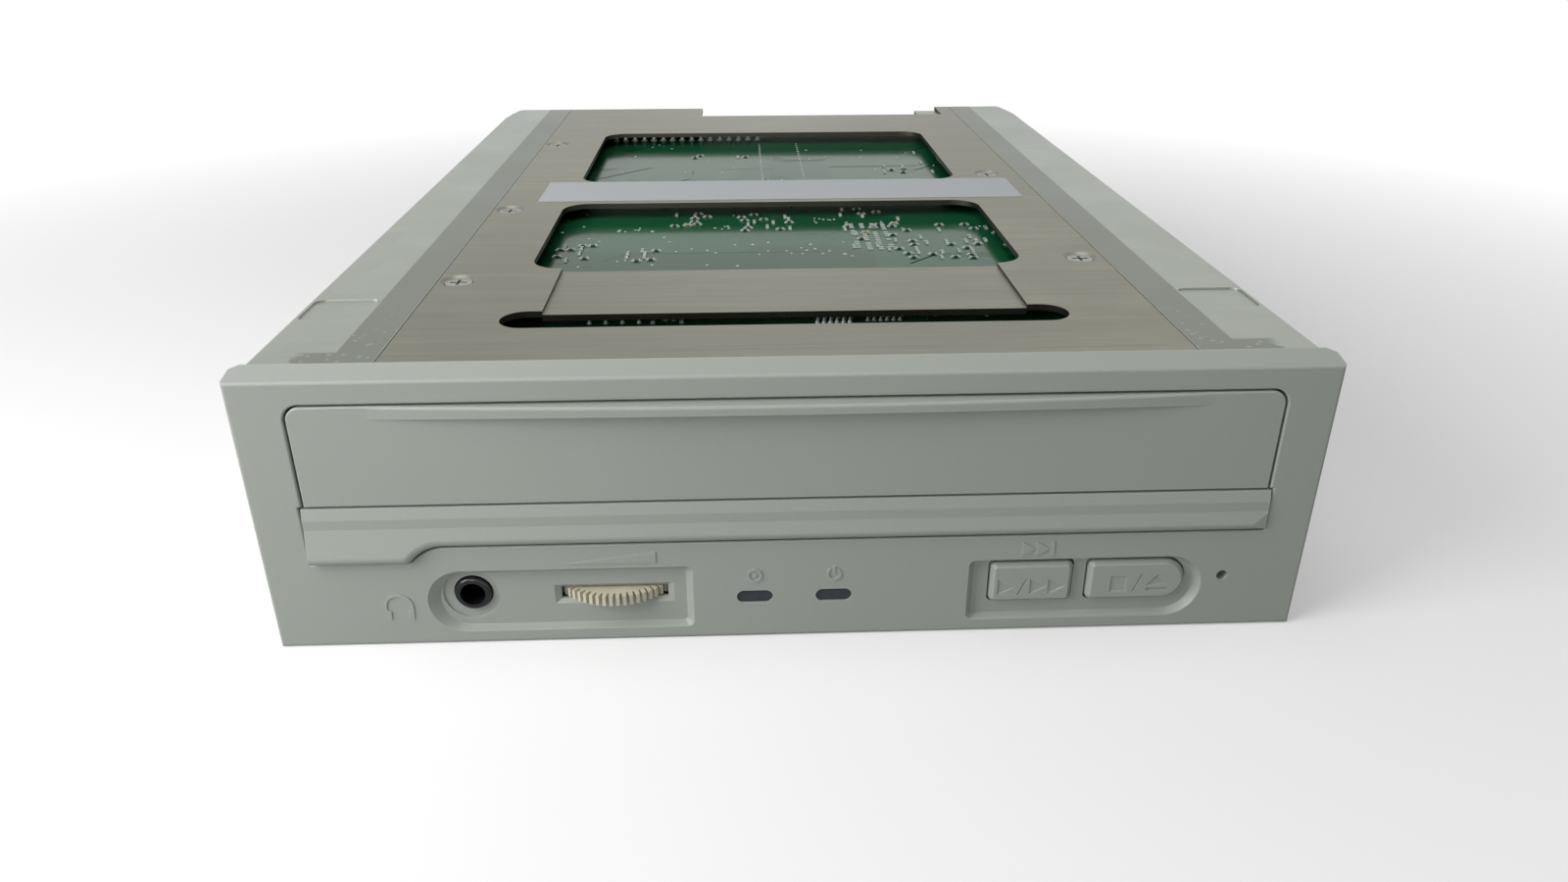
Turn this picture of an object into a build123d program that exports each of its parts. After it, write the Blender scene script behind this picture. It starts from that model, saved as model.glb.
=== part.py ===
"""A half-height computer disc drive with a sliding tray, as separate pieces at real size.

Sizes are millimetres. While it is built, X is to the right seen from the front, Y runs from the
face of the bezel to the back, and Z is up from the bezel's lower edge. At the end everything is
moved so that the origin is under the middle of the whole drive.
"""
import math
import os

from build123d import *

# Sheet metal case
CASE_WIDTH = 146.0
CASE_BOTTOM = 0.6
CASE_HEIGHT = 41.5
CASE_TOP = CASE_BOTTOM + CASE_HEIGHT
SHEET = 1.0
BODY_DEPTH = 204.75
TOP_FLANGE = 17.4
TOP_LEDGE = 10.1
COVER_HALF = CASE_WIDTH / 2 - TOP_FLANGE
LEDGE_HALF = COVER_HALF - TOP_LEDGE
BOTTOM_FLANGE = 13.3
BOTTOM_LEDGE = 7.7
BOTTOM_COVER_HALF = CASE_WIDTH / 2 - BOTTOM_FLANGE
SEAM = 0.15
CORNER_CUT = 17.0
DIMPLE_INSET = 6.0
DIMPLE_DEPTH = 0.25
FIT = 0.25

# Openings and pressings of the top cover, as left, right, front and back
FRONT_WINDOW = (-41.9, 41.5, 46.3, 90.5)
REAR_WINDOW = (-41.3, 41.2, 109.8, 166.0)
WINDOW_CORNER = 5.0
SUNK_PANEL = (-36.5, 36.8, 22.9, 48.0)
SUNK_DEPTH = 0.6
SLOT_Y = 21.05
SLOT_LENGTH = 84.3
SLOT_WIDTH = 7.3
NOTCH_LEFT = -17.2
NOTCH_RIGHT = 51.6
NOTCH_Y = BODY_DEPTH - 12.75
LABEL = (-47.8, 51.9, 92.6, 109.6)
LABEL_THICK = 0.1

# Bezel, which stands a little beyond the case all round
BEZEL_WIDTH = CASE_WIDTH + 2.4
LEFT = -BEZEL_WIDTH / 2
RIGHT = BEZEL_WIDTH / 2
BEZEL_HEIGHT = CASE_TOP + 0.2
BEZEL_CREASE = BEZEL_HEIGHT - 0.9
BEZEL_DEPTH = 4.35
BEZEL_PLATE = 2.2
BEZEL_RIM = 2.0
PANEL_GAP = 0.3
OPENING_ROUND = 0.3
HOOK_ZS = (8.0, 27.0)
HOOK_HEIGHT = 6.0
HOOK_BACK = 13.2
CATCH_FRONT = 10.0
CATCH_BACK = 12.5
PEG_XS = (-48.0, 0.0, 48.0)

# Fixing holes of the half-height drive standard, from the bezel's back and the case bottom
SIDE_HOLE_FIRST = 47.4
HOLE_SPACING = 79.25
SIDE_HOLE_LOW = 10.0
SIDE_HOLE_RISE = 11.84
BOTTOM_HOLE_ACROSS = CASE_WIDTH - 6.3
M3_CORE_RADIUS = 1.25
BOSS_RADIUS = 2.6
BOSS_LENGTH = 3.0

# Tray front
DOOR_LEFT = LEFT + 7.4
DOOR_RIGHT = RIGHT - 7.3
DOOR_BOTTOM = 22.9
DOOR_TOP = 37.8
DOOR_CORNER = 2.0
LIP_HALF = 56.6
LIP_PROUD = 2.0
LIP_THICKNESS = 1.85
LIP_RISE = 0.55
STRIP_LEFT = LEFT + 6.9
STRIP_RIGHT = RIGHT - 6.8
STRIP_TOP = 22.65
STRIP_BOTTOM = 16.4
STRIP_DROP = 14.0
DROP_LENGTH = 13.6
DROP_SLOPE = 2.5
DROP_BENDS = (1.5, 6.0)
STRIP_STEP = 0.36
STRIP_PROUD = 1.53
STRIP_STEP_TOP = 20.95
STRIP_LEDGE = 19.5
STRIP_ROUND = 1.1

# Tray
TRAY_TRAVEL = 135.0
TRAY_HELD = 37.0
TRAY_BACK = TRAY_TRAVEL + TRAY_HELD
TONGUE_HALF = CASE_WIDTH / 2 - 6.2
TRAY_HALF = TONGUE_HALF - 2.3
TRAY_BOTTOM = 24.0
TRAY_TOP = 30.0
TONGUE_BOTTOM = 25.0
TONGUE_TOP = 27.0
SPINDLE_Y = 70.0
DISC = 1.2
DISC_SEAT_RADIUS = 60.6
SMALL_SEAT_RADIUS = 40.6
DISC_SEAT = 27.0
SMALL_SEAT = 26.1
TRAY_WINDOW_HALF = 21.0
TRAY_WINDOW_BACK = 142.5
REAR_RECESS_FRONT = 140.0
RUN = 0.3

# Loading gears
RACK_X = -(TRAY_HALF - 6.5)
RACK_DROP = 2.7
RACK_MODULE = 1.0
TRAY_PINION_TEETH = 20
TRAIN_MODULE = 0.8
TRAY_WHEEL_TEETH = 36
PULLEY_PINION_TEETH = 14
TRAIN_Y = 31.0
PLATFORM_TOP = 14.0
PULLEY_RADIUS = 11.0
MOTOR_PULLEY_RADIUS = 3.0
PULLEY_RIM = 0.9
PULLEY_LOW = 14.2
PULLEY_HIGH = 17.0
GROOVE_LOW = 14.8
GROOVE_HIGH = 16.4
BELT = 1.2
PULLEY_SPACING = 32.0
WHEEL_LOW = 17.5
PINION_LOW = 20.0
SHAFT = 1.5
MOTOR_SHAFT = 1.0
MOTOR_RADIUS = 10.0
MOTOR_BOSS = 2.1
RUNNING = 0.05

# Loader frame
LOADER_OUT = CASE_WIDTH / 2 - 3.4
LOADER_IN = TONGUE_HALF - 1.6
LOADER_BOTTOM = 4.2
LOADER_FLOOR = 6.0
LOADER_FRONT = 21.0
LOADER_BACK = 188.0
CABLE_ROOM_BACK = 29.5

# Lifting deck
LIFT = 6.4
CAM_TRAVEL = 12.0
PIN_RADIUS = 1.25
PIN_Z = 10.5
PIN_YS = (60.0, 158.0)
PIN_CLEAR = 0.12
FRAME_HALF = 42.5
RING_LOW = 9.0
RING_HIGH = 12.0
CAM_INNER = FRAME_HALF + 0.9
CAM_OUTER = CAM_INNER + 2.6
CAM_SIDE_GAP = 0.4
CAM_FRONT = 47.0
CAM_BACK = 162.0
CAM_TOP = PIN_Z + LIFT + PIN_RADIUS + 1.85
DECK_Z = RING_HIGH + 1.0
DECK_SHEET = 1.2
DECK_TOP = DECK_Z + DECK_SHEET
GROMMET_X = 37.0
GROMMET_YS = (52.5, 166.0)
GROMMET_RADIUS = 3.8
GROMMET_WAIST = 2.45
GROMMET_TOP = DECK_TOP + 1.0

# Spindle
SPINDLE_MOTOR_RADIUS = 12.0
MOTOR_BOTTOM = 4.6
SPINDLE_BOSS = 4.9
SPINDLE_SHAFT = 1.0
TURNTABLE_RADIUS = 15.0
TURNTABLE_TOP = 21.2
TURNTABLE_SHEET = 1.6
CONE_RADIUS = 7.45
CONE_HEIGHT = 1.4

# Pickup
ROD_X = 12.0
ROD_RADIUS = 1.25
ROD_FRONT = 77.0
ROD_BACK = 141.4
BRACKET = 3.0
SLED_WALL = 0.75
SLED_BOTTOM = DECK_TOP + 0.3
ROD_Z = SLED_BOTTOM + SLED_WALL + ROD_RADIUS
SLED_TOP = ROD_Z + ROD_RADIUS + SLED_WALL
LENS_Y = 95.0
LENS_RADIUS = 2.6
SLED_HALF_LENGTH = 9.0
SLED_HALF = 16.0
SLED_TRAVEL = 33.0
SLED_RACK_X = -19.0
SLED_RACK_LOW = 15.6
SLED_RACK_HIGH = 17.0
SLED_MODULE = 0.6
SLED_PINION_TEETH = 20
SLED_TRAIN_MODULE = 0.5
SLED_WHEEL_TEETH = 32
SLED_MOTOR_TEETH = 12
SLED_SLACK = 0.08
SLED_GEAR_Y = 115.0
SLED_MOTOR_RADIUS = 6.0
SLED_MOTOR_SHAFT = 0.75

# Clamp
BRIDGE_Z = TRAY_TOP + 3.0
BRIDGE_SHEET = 1.2
BRIDGE_HALF_DEPTH = 17.0
PUCK_NECK = 9.2
PUCK_RADIUS = 14.0
PUCK_BOTTOM = TURNTABLE_TOP + LIFT + DISC + 0.1
PUCK_SHEET = 1.8
KEEPER_BOTTOM = BRIDGE_Z + BRIDGE_SHEET + 0.2
KEEPER_RADIUS = 11.5

# Circuit boards
BOARD_BOTTOM = CASE_TOP - 4.7
BOARD_THICK = 1.6
BOARD_TOP = BOARD_BOTTOM + BOARD_THICK
BOARD_HALF = CASE_WIDTH / 2 - 7.0
BOARD_FRONT = 24.0
BOARD_BACK = BODY_DEPTH - 2.25
BOARD_SCREW_X = BOARD_HALF - 1.8
BOARD_SCREW_YS = (33.0, 111.0, BODY_DEPTH - 21.75)
PANEL_BOARD_Z = 3.0
PANEL_TOP = PANEL_BOARD_Z + BOARD_THICK
PANEL_BOARD_FRONT = 5.2
PANEL_BOARD_BACK = 19.5
PIN_PITCH = 2.54
PIN_SQUARE = 0.64
CHIPS = ((-35, 105, 14), (5, 108, 20), (38, 118, 14), (-12, 145, 14), (36, 152, 10), (-45, 140, 10))
CHIP_HEIGHT = 2.4
CAPACITORS = ((-56, 165), (-56, 156), (52, 170), (56, 96), (-57, 96), (20, 170), (28, 170))
CAPACITOR_RADIUS = 3.0
CAPACITOR_HEIGHT = 5.4
FIRMWARE_LEFT = -40.0
FIRMWARE_FRONT = 172.6
FIRMWARE_PINS = 16
FIRMWARE_ROWS = 7.62
SOCKET_HEIGHT = 5.2
SOLDER_TAIL = 0.9

# Flat cable between the boards
CABLE_X = LOADER_OUT - 1.0
CABLE_WIDTH = 4.0
CABLE_THICK = 0.3
CABLE_LOW_Y = 15.2
CABLE_HIGH_Y = 24.6
CABLE_SOCKET_LOW = 1.2
CABLE_SOCKET_HIGH = 2.2

# Front controls
LEFT_POCKET_RIM = (LEFT + 59.9, LEFT + 22.0, 1.95, 12.2, 1.0)
LEFT_POCKET_FLOOR = (LEFT + 58.9, LEFT + 23.6, 2.4, 11.2, 0.5)
RIGHT_POCKET_RIM = (RIGHT - 48.8, RIGHT - 14.4, 1.95, 12.1, 1.0)
RIGHT_POCKET_FLOOR = (RIGHT - 47.8, RIGHT - 15.2, 2.4, 11.5, 0.5)
POCKET_DEPTH = 1.2
JACK_X = LEFT + 28.3
JACK_Z = 7.8
JACK_RIM = 2.65
JACK_BORE = 1.8
JACK_NOSE = 0.75
JACK_BORE_END = 13.5
WHEEL_X = LEFT + 48.5
WHEEL_Z = 7.25
WHEEL_RADIUS = 9.5
WHEEL_THICK = 1.5
WHEEL_PROUD = 1.1
WHEEL_TEETH = 60
WHEEL_GROOVE = 1.1
WHEEL_SLOT_HALF = 7.7
WHEEL_Y = WHEEL_RADIUS - WHEEL_PROUD
WHEEL_SHAFT = 2.0
LAMP_XS = (-5.45, 5.95)
LAMP_Z = 6.85
LAMP_WIDTH = 5.1
LAMP_HEIGHT = 1.95
LENS_BACK = 5.4
PLAY_LEFT = RIGHT - 45.4
PLAY_RIGHT = RIGHT - 33.4
EJECT_LEFT = RIGHT - 31.1
EJECT_RIGHT = RIGHT - 16.8
BUTTON_BOTTOM = 4.65
BUTTON_TOP = 11.2
BUTTON_FACE = 0.2
BUTTON_CORNER = 0.9
BUTTON_TRAVEL = 0.8
FLANGE_REACH = 0.8
SWITCH_FRONT = 9.5
PLUNGER = 0.9
EJECT_HOLE_X = RIGHT - 11.5
EJECT_HOLE_Z = 8.7
EJECT_HOLE_RADIUS = 0.8
MARK_HEIGHT = 0.15
MARK_DEPTH = 0.2
MARK_LINE = 0.35

# Rear sockets, by their middles across
SOCKET_BACK = BODY_DEPTH
DATA_X = (NOTCH_LEFT + NOTCH_RIGHT) / 2
DATA_WIDTH = 68.4
DATA_HEIGHT = 8.8
DATA_PINS = 25
POWER_X = -(CASE_WIDTH / 2 - 19.0)
POWER_WIDTH = 21.0
POWER_HEIGHT = 10.2
POWER_WALL = 1.2
POWER_ROOM = 9.0
POWER_PITCH = 5.08
POWER_PIN = 1.05
JUMPER_X = -30.0
JUMPER_HEIGHT = 6.6
JUMPER_PINS = 6
JUMPER_PIN_Z = BOARD_BOTTOM - 3.4
AUDIO_X = CASE_WIDTH / 2 - 14.0
AUDIO_WIDTH = 10.8
AUDIO_HEIGHT = 6.6
AUDIO_WALL = 0.8
AUDIO_ROOM = 7.0

# Screws, as X and Y of their places
COVER_SCREWS = (
    (-COVER_HALF + 3.2, 40.5),
    (-COVER_HALF + 3.2, 86.8),
    (-COVER_HALF + 3.2, 152.8),
    (COVER_HALF - 3.8, 49.4),
    (COVER_HALF - 6.6, 115.0),
)
BOTTOM_SCREWS = [(x, y) for x in (3.7 - BOTTOM_COVER_HALF, BOTTOM_COVER_HALF - 3.7) for y in (34.0, 182.0)]
BRIDGE_SCREW_X = LOADER_OUT - 2.2
SCREW_HEAD = 2.7
SCREW_CONE = 0.9
SCREW_SUNK = 0.35
RECESS_WIDTH = 0.5
RECESS_DEPTH = 0.35
SCREW_SHANK = 1.4
SCREW_DEPTH = 4.0

FACE_Y = -(BODY_DEPTH - LIP_PROUD) / 2


def block(x0, x1, y0, y1, z0, z1):
    """A box between two corners."""
    middle = Pos((x0 + x1) / 2, (y0 + y1) / 2, (z0 + z1) / 2)
    return middle * Box(x1 - x0, y1 - y0, z1 - z0)


def both_sides(x0, x1, y0, y1, z0, z1):
    """The same box on the right and on the left."""
    return block(x0, x1, y0, y1, z0, z1) + block(-x1, -x0, y0, y1, z0, z1)


def post(x, y, z0, z1, radius):
    """An upright cylinder."""
    return Pos(x, y, (z0 + z1) / 2) * Cylinder(radius, z1 - z0)


def along_y(x, z, y0, y1, radius):
    """A cylinder that runs front to back."""
    return Pos(x, (y0 + y1) / 2, z) * Rot(90, 0, 0) * Cylinder(radius, y1 - y0)


def along_x(y, z, x0, x1, radius):
    """A cylinder that runs across."""
    return Pos((x0 + x1) / 2, y, z) * Rot(0, 90, 0) * Cylinder(radius, x1 - x0)


def front_plane(y):
    """A plane seen from the front, with X across and Z up, at depth y."""
    return Plane(origin=(0, y, 0), x_dir=(1, 0, 0), z_dir=(0, -1, 0))


def front_prism(sketch, y0, y1):
    """A front-view sketch given thickness from y0 back to y1."""
    return extrude(front_plane(y1) * sketch, y1 - y0)


def plan_prism(sketch, z0, z1):
    """A plan-view sketch given height."""
    return extrude(Pos(0, 0, z0) * sketch, z1 - z0)


def side_prism(points, x0, x1):
    """A side-view polygon of (y, z) points given width from x0 to x1."""
    plane = Plane(origin=(x0, 0, 0), x_dir=(0, 1, 0), z_dir=(1, 0, 0))
    return extrude(plane * make_face(Polyline(*points, close=True)), x1 - x0)


def box_sketch(x0, x1, v0, v1, corner=0.0):
    """A rectangle between two corners, with rounded corners if wanted."""
    middle = Pos((x0 + x1) / 2, (v0 + v1) / 2)
    if corner > 0:
        return middle * RectangleRounded(x1 - x0, v1 - v0, corner)
    return middle * Rectangle(x1 - x0, v1 - v0)


def half_round(flat, tip, low, high, corner):
    """An outline with one straight end, softly cornered, and one end that is a half circle."""
    radius = (high - low) / 2
    side = 1 if tip > flat else -1
    centre = tip - side * radius
    middle = (low + high) / 2
    edges = [
        Line((centre, low), (flat + side * corner, low)),
        ThreePointArc(
            (flat + side * corner, low),
            (flat + side * corner * (1 - math.sqrt(0.5)), low + corner * (1 - math.sqrt(0.5))),
            (flat, low + corner),
        ),
        Line((flat, low + corner), (flat, high - corner)),
        ThreePointArc(
            (flat, high - corner),
            (flat + side * corner * (1 - math.sqrt(0.5)), high - corner * (1 - math.sqrt(0.5))),
            (flat + side * corner, high),
        ),
        Line((flat + side * corner, high), (centre, high)),
        ThreePointArc((centre, high), (tip, middle), (centre, low)),
    ]
    return make_face(edges)


def involute(angle):
    return math.tan(angle) - angle


def gear_sketch(module, teeth, phase=0.0, slack=0.12):
    """A spur gear outline with involute flanks; a tooth points along +X when phase is 0."""
    pressure = math.radians(20)
    pitch = module * teeth / 2
    base = pitch * math.cos(pressure)
    root = pitch - 1.2 * module
    tip = pitch + 0.9 * module
    at_pitch = math.pi / (2 * teeth) - slack / pitch

    def half_angle(radius):
        if radius <= base:
            return at_pitch + involute(pressure)
        return at_pitch + involute(pressure) - involute(math.acos(base / radius))

    low = max(base, root)
    flank = [root] if root < low else []
    flank += [low + (tip - low) * k / 3 for k in range(4)]
    points = []
    for tooth in range(teeth):
        middle = phase + 2 * math.pi * tooth / teeth
        points += [(r, middle - half_angle(r)) for r in flank]
        points += [(r, middle + half_angle(r)) for r in reversed(flank)]
    corners = [(r * math.cos(a), r * math.sin(a)) for r, a in points]
    return make_face(Polyline(*corners, close=True))


def rack_sketch(module, y0, y1, through_y, side=1, slack=0.12):
    """Rack teeth that point to one side from the pitch line X = 0, with a gap at through_y."""
    pitch = math.pi * module
    slope = math.tan(math.radians(20))
    tip, root = 0.9 * module, 1.2 * module
    half = pitch / 4 - slack
    first = math.ceil((y0 - through_y) / pitch - 0.5) + 1
    last = math.floor((y1 - through_y) / pitch - 0.5) - 1
    points = [(-3.2 * module, y0), (-root, y0)]
    for number in range(first, last + 1):
        middle = through_y + (number + 0.5) * pitch
        points += [
            (-root, middle - half - root * slope),
            (tip, middle - half + tip * slope),
            (tip, middle + half - tip * slope),
            (-root, middle + half + root * slope),
        ]
    points += [(-root, y1), (-3.2 * module, y1)]
    return make_face(Polyline(*[(side * x, y) for x, y in points], close=True))


def belt_loop(spacing, small, large):
    """The outline round a small pulley at X = spacing and a large one at X = 0."""
    lean = math.asin((large - small) / spacing)
    across, up = math.sin(lean), math.cos(lean)
    start, end = (large * across, large * up), (spacing + small * across, small * up)
    edges = [
        Line(start, end),
        ThreePointArc(end, (spacing + small, 0), (end[0], -end[1])),
        Line((end[0], -end[1]), (start[0], -start[1])),
        ThreePointArc((start[0], -start[1]), (-large, 0), start),
    ]
    return make_face(edges)


def countersunk_screw(x, y, top, length, up=True):
    """A flat-headed screw that sits a little below the face of the sheet that it holds."""
    way = -1 if up else 1
    face = top + way * SCREW_SUNK
    wide = SCREW_HEAD - SCREW_SUNK * (SCREW_HEAD - SCREW_SHANK) / SCREW_CONE
    deep = SCREW_CONE - SCREW_SUNK
    head = Pos(x, y, face) * Rot(0 if not up else 180, 0, 0) * Pos(0, 0, deep / 2)
    cone = head * Cone(wide, SCREW_SHANK, deep)
    tip = top + way * length
    shank = post(x, y, min(tip, top + way * 0.8), max(tip, top + way * 0.8), SCREW_SHANK)
    reach, half, cut = wide - 0.8, RECESS_WIDTH / 2, RECESS_DEPTH
    slot = block(x - reach, x + reach, y - half, y + half, face - cut, face + cut)
    cross = block(x - half, x + half, y - reach, y + reach, face - cut, face + cut)
    return cone + shank - slot - cross


def screw_hole(x, y, top, up=True):
    """The countersink and the through hole for such a screw."""
    head = Pos(x, y, top) * Rot(0 if not up else 180, 0, 0) * Pos(0, 0, 0.5)
    cone = head * Cone(SCREW_HEAD + 0.25, SCREW_SHANK + 0.15, SHEET)
    return cone + post(x, y, top - 1.2 * SHEET, top + 1.2 * SHEET, SCREW_SHANK + 0.1)


def pan_screw(x, y, seat, depth):
    """A round-headed screw that stands on a seat."""
    head = fillet(post(x, y, seat, seat + 1.5, SCREW_HEAD).edges().group_by(Axis.Z)[-1], 0.6)
    slot = block(x - 1.7, x + 1.7, y - 0.3, y + 0.3, seat + 0.7, seat + 2)
    return head + post(x, y, seat - depth, seat + 0.2, SCREW_SHANK) - slot


def tray_front_sketch(grow):
    """The outline of door and strip together, grown all round by a gap."""
    left, right = STRIP_LEFT - grow, STRIP_RIGHT + grow
    low, floor = STRIP_DROP - grow, STRIP_BOTTOM - grow
    strip = make_face(
        Polyline(
            (left, DOOR_BOTTOM),
            (left, low),
            (STRIP_LEFT + DROP_LENGTH + grow / 4, low),
            (STRIP_LEFT + DROP_LENGTH + DROP_SLOPE + grow / 4, floor),
            (right, floor),
            (right, DOOR_BOTTOM),
            close=True,
        )
    )
    bends = [v for v in strip.vertices() if left + 5 < v.X < right - 5]
    for bend, radius in zip(sorted(bends, key=lambda v: v.X), DROP_BENDS):
        near = [v for v in strip.vertices() if abs(v.X - bend.X) < 0.01 and abs(v.Y - bend.Y) < 0.01]
        strip = fillet(near, radius)
    door = box_sketch(DOOR_LEFT - grow, DOOR_RIGHT + grow, STRIP_TOP - 2, DOOR_TOP + grow)
    top = [v for v in door.vertices() if v.Y > DOOR_TOP]
    if grow == 0:
        top = door.vertices().group_by(Axis.Y)[-1]
    return strip, fillet(top, DOOR_CORNER + grow)


def case():
    """The folded sheet body: two sides, top and bottom flanges with ledges, and the rear wall."""
    half = CASE_WIDTH / 2
    front, back = BEZEL_DEPTH, BODY_DEPTH
    wall_y = back - SHEET
    shell = both_sides(half - SHEET, half, front, back, CASE_BOTTOM, CASE_TOP)
    top = CASE_TOP - SHEET
    bottom = CASE_BOTTOM + SHEET
    shell += both_sides(COVER_HALF + SEAM, half, front, back, top, CASE_TOP)
    shell += both_sides(LEDGE_HALF, COVER_HALF + 3, front + 2, wall_y, top - SHEET, top)
    shell += both_sides(BOTTOM_COVER_HALF + SEAM, half, front, back, CASE_BOTTOM, bottom)
    ledge_edge = BOTTOM_COVER_HALF - BOTTOM_LEDGE
    shell += both_sides(ledge_edge, BOTTOM_COVER_HALF + 2, front + 2, wall_y, bottom, bottom + SHEET)
    wall = block(-half, half, wall_y, back, CASE_BOTTOM, top)
    wall -= socket_space(FIT * 2)
    shell += wall
    tab_bottom = BOARD_BOTTOM - SHEET
    for y in BOARD_SCREW_YS:
        shell += both_sides(BOARD_SCREW_X - 2.2, half - 0.5, y - 3, y + 3, tab_bottom, BOARD_BOTTOM)
    for x, y in board_screw_places():
        shell -= post(x, y, tab_bottom - 1, BOARD_BOTTOM + 1, SCREW_SHANK + RUNNING)
    corner = side_edges(shell, half, CASE_TOP)
    shell = fillet(corner, SHEET * 0.9)
    lower = side_edges(shell, half, CASE_BOTTOM)
    shell = fillet(lower, SHEET * 0.9)
    for side in (-1, 1):
        cut = Polyline(
            (side * (half + 1), BODY_DEPTH - CORNER_CUT),
            (side * half, BODY_DEPTH - CORNER_CUT),
            (side * (half - 2.2), BODY_DEPTH - 1.5),
            (side * (half - 3.6), BODY_DEPTH + 1),
            (side * (half + 1), BODY_DEPTH + 1),
            close=True,
        )
        shell -= plan_prism(make_face(cut), top, CASE_TOP + 1)
        for y in hole_rows():
            for rise in (0, SIDE_HOLE_RISE):
                z = CASE_BOTTOM + SIDE_HOLE_LOW + rise
                inner, outer = sorted((side * (half - BOSS_LENGTH), side * (half - SHEET / 2)))
                shell += along_x(y, z, inner, outer, BOSS_RADIUS)
                shell -= along_x(y, z, inner - 2, outer + 2, M3_CORE_RADIUS)
            x = side * BOTTOM_HOLE_ACROSS / 2
            shell += post(x, y, bottom - SHEET / 2, CASE_BOTTOM + BOSS_LENGTH, BOSS_RADIUS - 0.4)
            shell -= post(x, y, CASE_BOTTOM - 1, CASE_BOTTOM + BOSS_LENGTH + 1, M3_CORE_RADIUS)
        for z in HOOK_ZS:
            x0, x1 = sorted((side * (half - 2), side * (half + 1)))
            low, high = z + 1 - FIT, z + HOOK_HEIGHT - 1 + FIT
            shell -= block(x0, x1, CATCH_FRONT - FIT, CATCH_BACK + FIT, low, high)
    for x, y in COVER_SCREWS:
        shell -= post(x, y, top - SHEET - 1, top + SHEET, SCREW_SHANK + RUNNING)
    for x, y in BOTTOM_SCREWS:
        shell -= post(x, y, bottom - 1, bottom + SHEET + 1, SCREW_SHANK + RUNNING)
    for x in (DIMPLE_INSET - half, half - DIMPLE_INSET):
        dimple = block(x - 5, x + 5, 22, 31.5, CASE_TOP - DIMPLE_DEPTH, CASE_TOP + 1)
        shell -= fillet(dimple.edges() | Axis.Z, 1.5)
    return shell


def side_edges(shape, half, z):
    """The long outside bends of the case at height z."""
    long = [e for e in shape.edges() if e.length > 60]
    return [e for e in long if abs(abs(e.center().X) - half) < 0.01 and abs(e.center().Z - z) < 0.01]


def hole_rows():
    """Where the two rows of fixing holes are, from the face."""
    first = BEZEL_DEPTH + SIDE_HOLE_FIRST
    return (first, first + HOLE_SPACING)


def socket_space(gap):
    """The holes for the sockets in the rear wall; the data header's is open at the top."""
    y0, y1 = BODY_DEPTH - SHEET - 1, BODY_DEPTH + 1
    half = DATA_WIDTH / 2 + gap
    space = block(DATA_X - half, DATA_X + half, y0, y1, BOARD_BOTTOM - DATA_HEIGHT - gap, CASE_TOP + 1)
    jumper_width = (JUMPER_PINS + 1) * PIN_PITCH
    closed = (
        (POWER_X, POWER_WIDTH, POWER_HEIGHT),
        (JUMPER_X, jumper_width, JUMPER_HEIGHT),
        (AUDIO_X, AUDIO_WIDTH, AUDIO_HEIGHT),
    )
    for x, width, height in closed:
        half = width / 2 + gap
        space += block(x - half, x + half, y0, y1, BOARD_BOTTOM - height - gap, BOARD_BOTTOM + gap)
    return space


def cover_plate():
    """The top cover with its slot, two windows, the pressed panel and the rear notch."""
    top, bottom = CASE_TOP, CASE_TOP - SHEET
    plate = block(-COVER_HALF, COVER_HALF, BEZEL_DEPTH + 0.1, BODY_DEPTH, bottom, top)
    plate -= block(*SUNK_PANEL, top - SUNK_DEPTH, top + 1)
    plate += block(*SUNK_PANEL, bottom - SUNK_DEPTH, top - SUNK_DEPTH)
    slot = Pos(0, SLOT_Y) * SlotOverall(SLOT_LENGTH, SLOT_WIDTH)
    front_window = box_sketch(*FRONT_WINDOW, WINDOW_CORNER)
    rear_window = box_sketch(*REAR_WINDOW, WINDOW_CORNER)
    for hole in (slot, front_window, rear_window):
        plate -= plan_prism(hole, bottom - 2, top + 2)
    plate -= block(NOTCH_LEFT, NOTCH_RIGHT, NOTCH_Y, BODY_DEPTH + 1, bottom - 1, top + 1)
    for x, y in COVER_SCREWS:
        plate -= screw_hole(x, y, top)
    return plate


def bottom_plate():
    """The bottom cover with two shallow stiffening ribs and its screw holes."""
    z0, z1 = CASE_BOTTOM, CASE_BOTTOM + SHEET
    front, back = BEZEL_DEPTH + 0.1, BODY_DEPTH - SHEET - SEAM
    plate = block(-BOTTOM_COVER_HALF, BOTTOM_COVER_HALF, front, back, z0, z1)
    rise = SHEET / 2
    for x in (-BOTTOM_COVER_HALF / 2, BOTTOM_COVER_HALF / 2):
        rib = Pos(x, (front + back) / 2) * Rot(0, 0, 90)
        plate -= plan_prism(rib * SlotOverall(120, 8), z0, z0 + rise)
        plate += plan_prism(rib * SlotOverall(121, 9), z1 - 0.1, z1 + rise)
    for x, y in BOTTOM_SCREWS:
        plate -= screw_hole(x, y, z0, up=False)
    return plate


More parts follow.
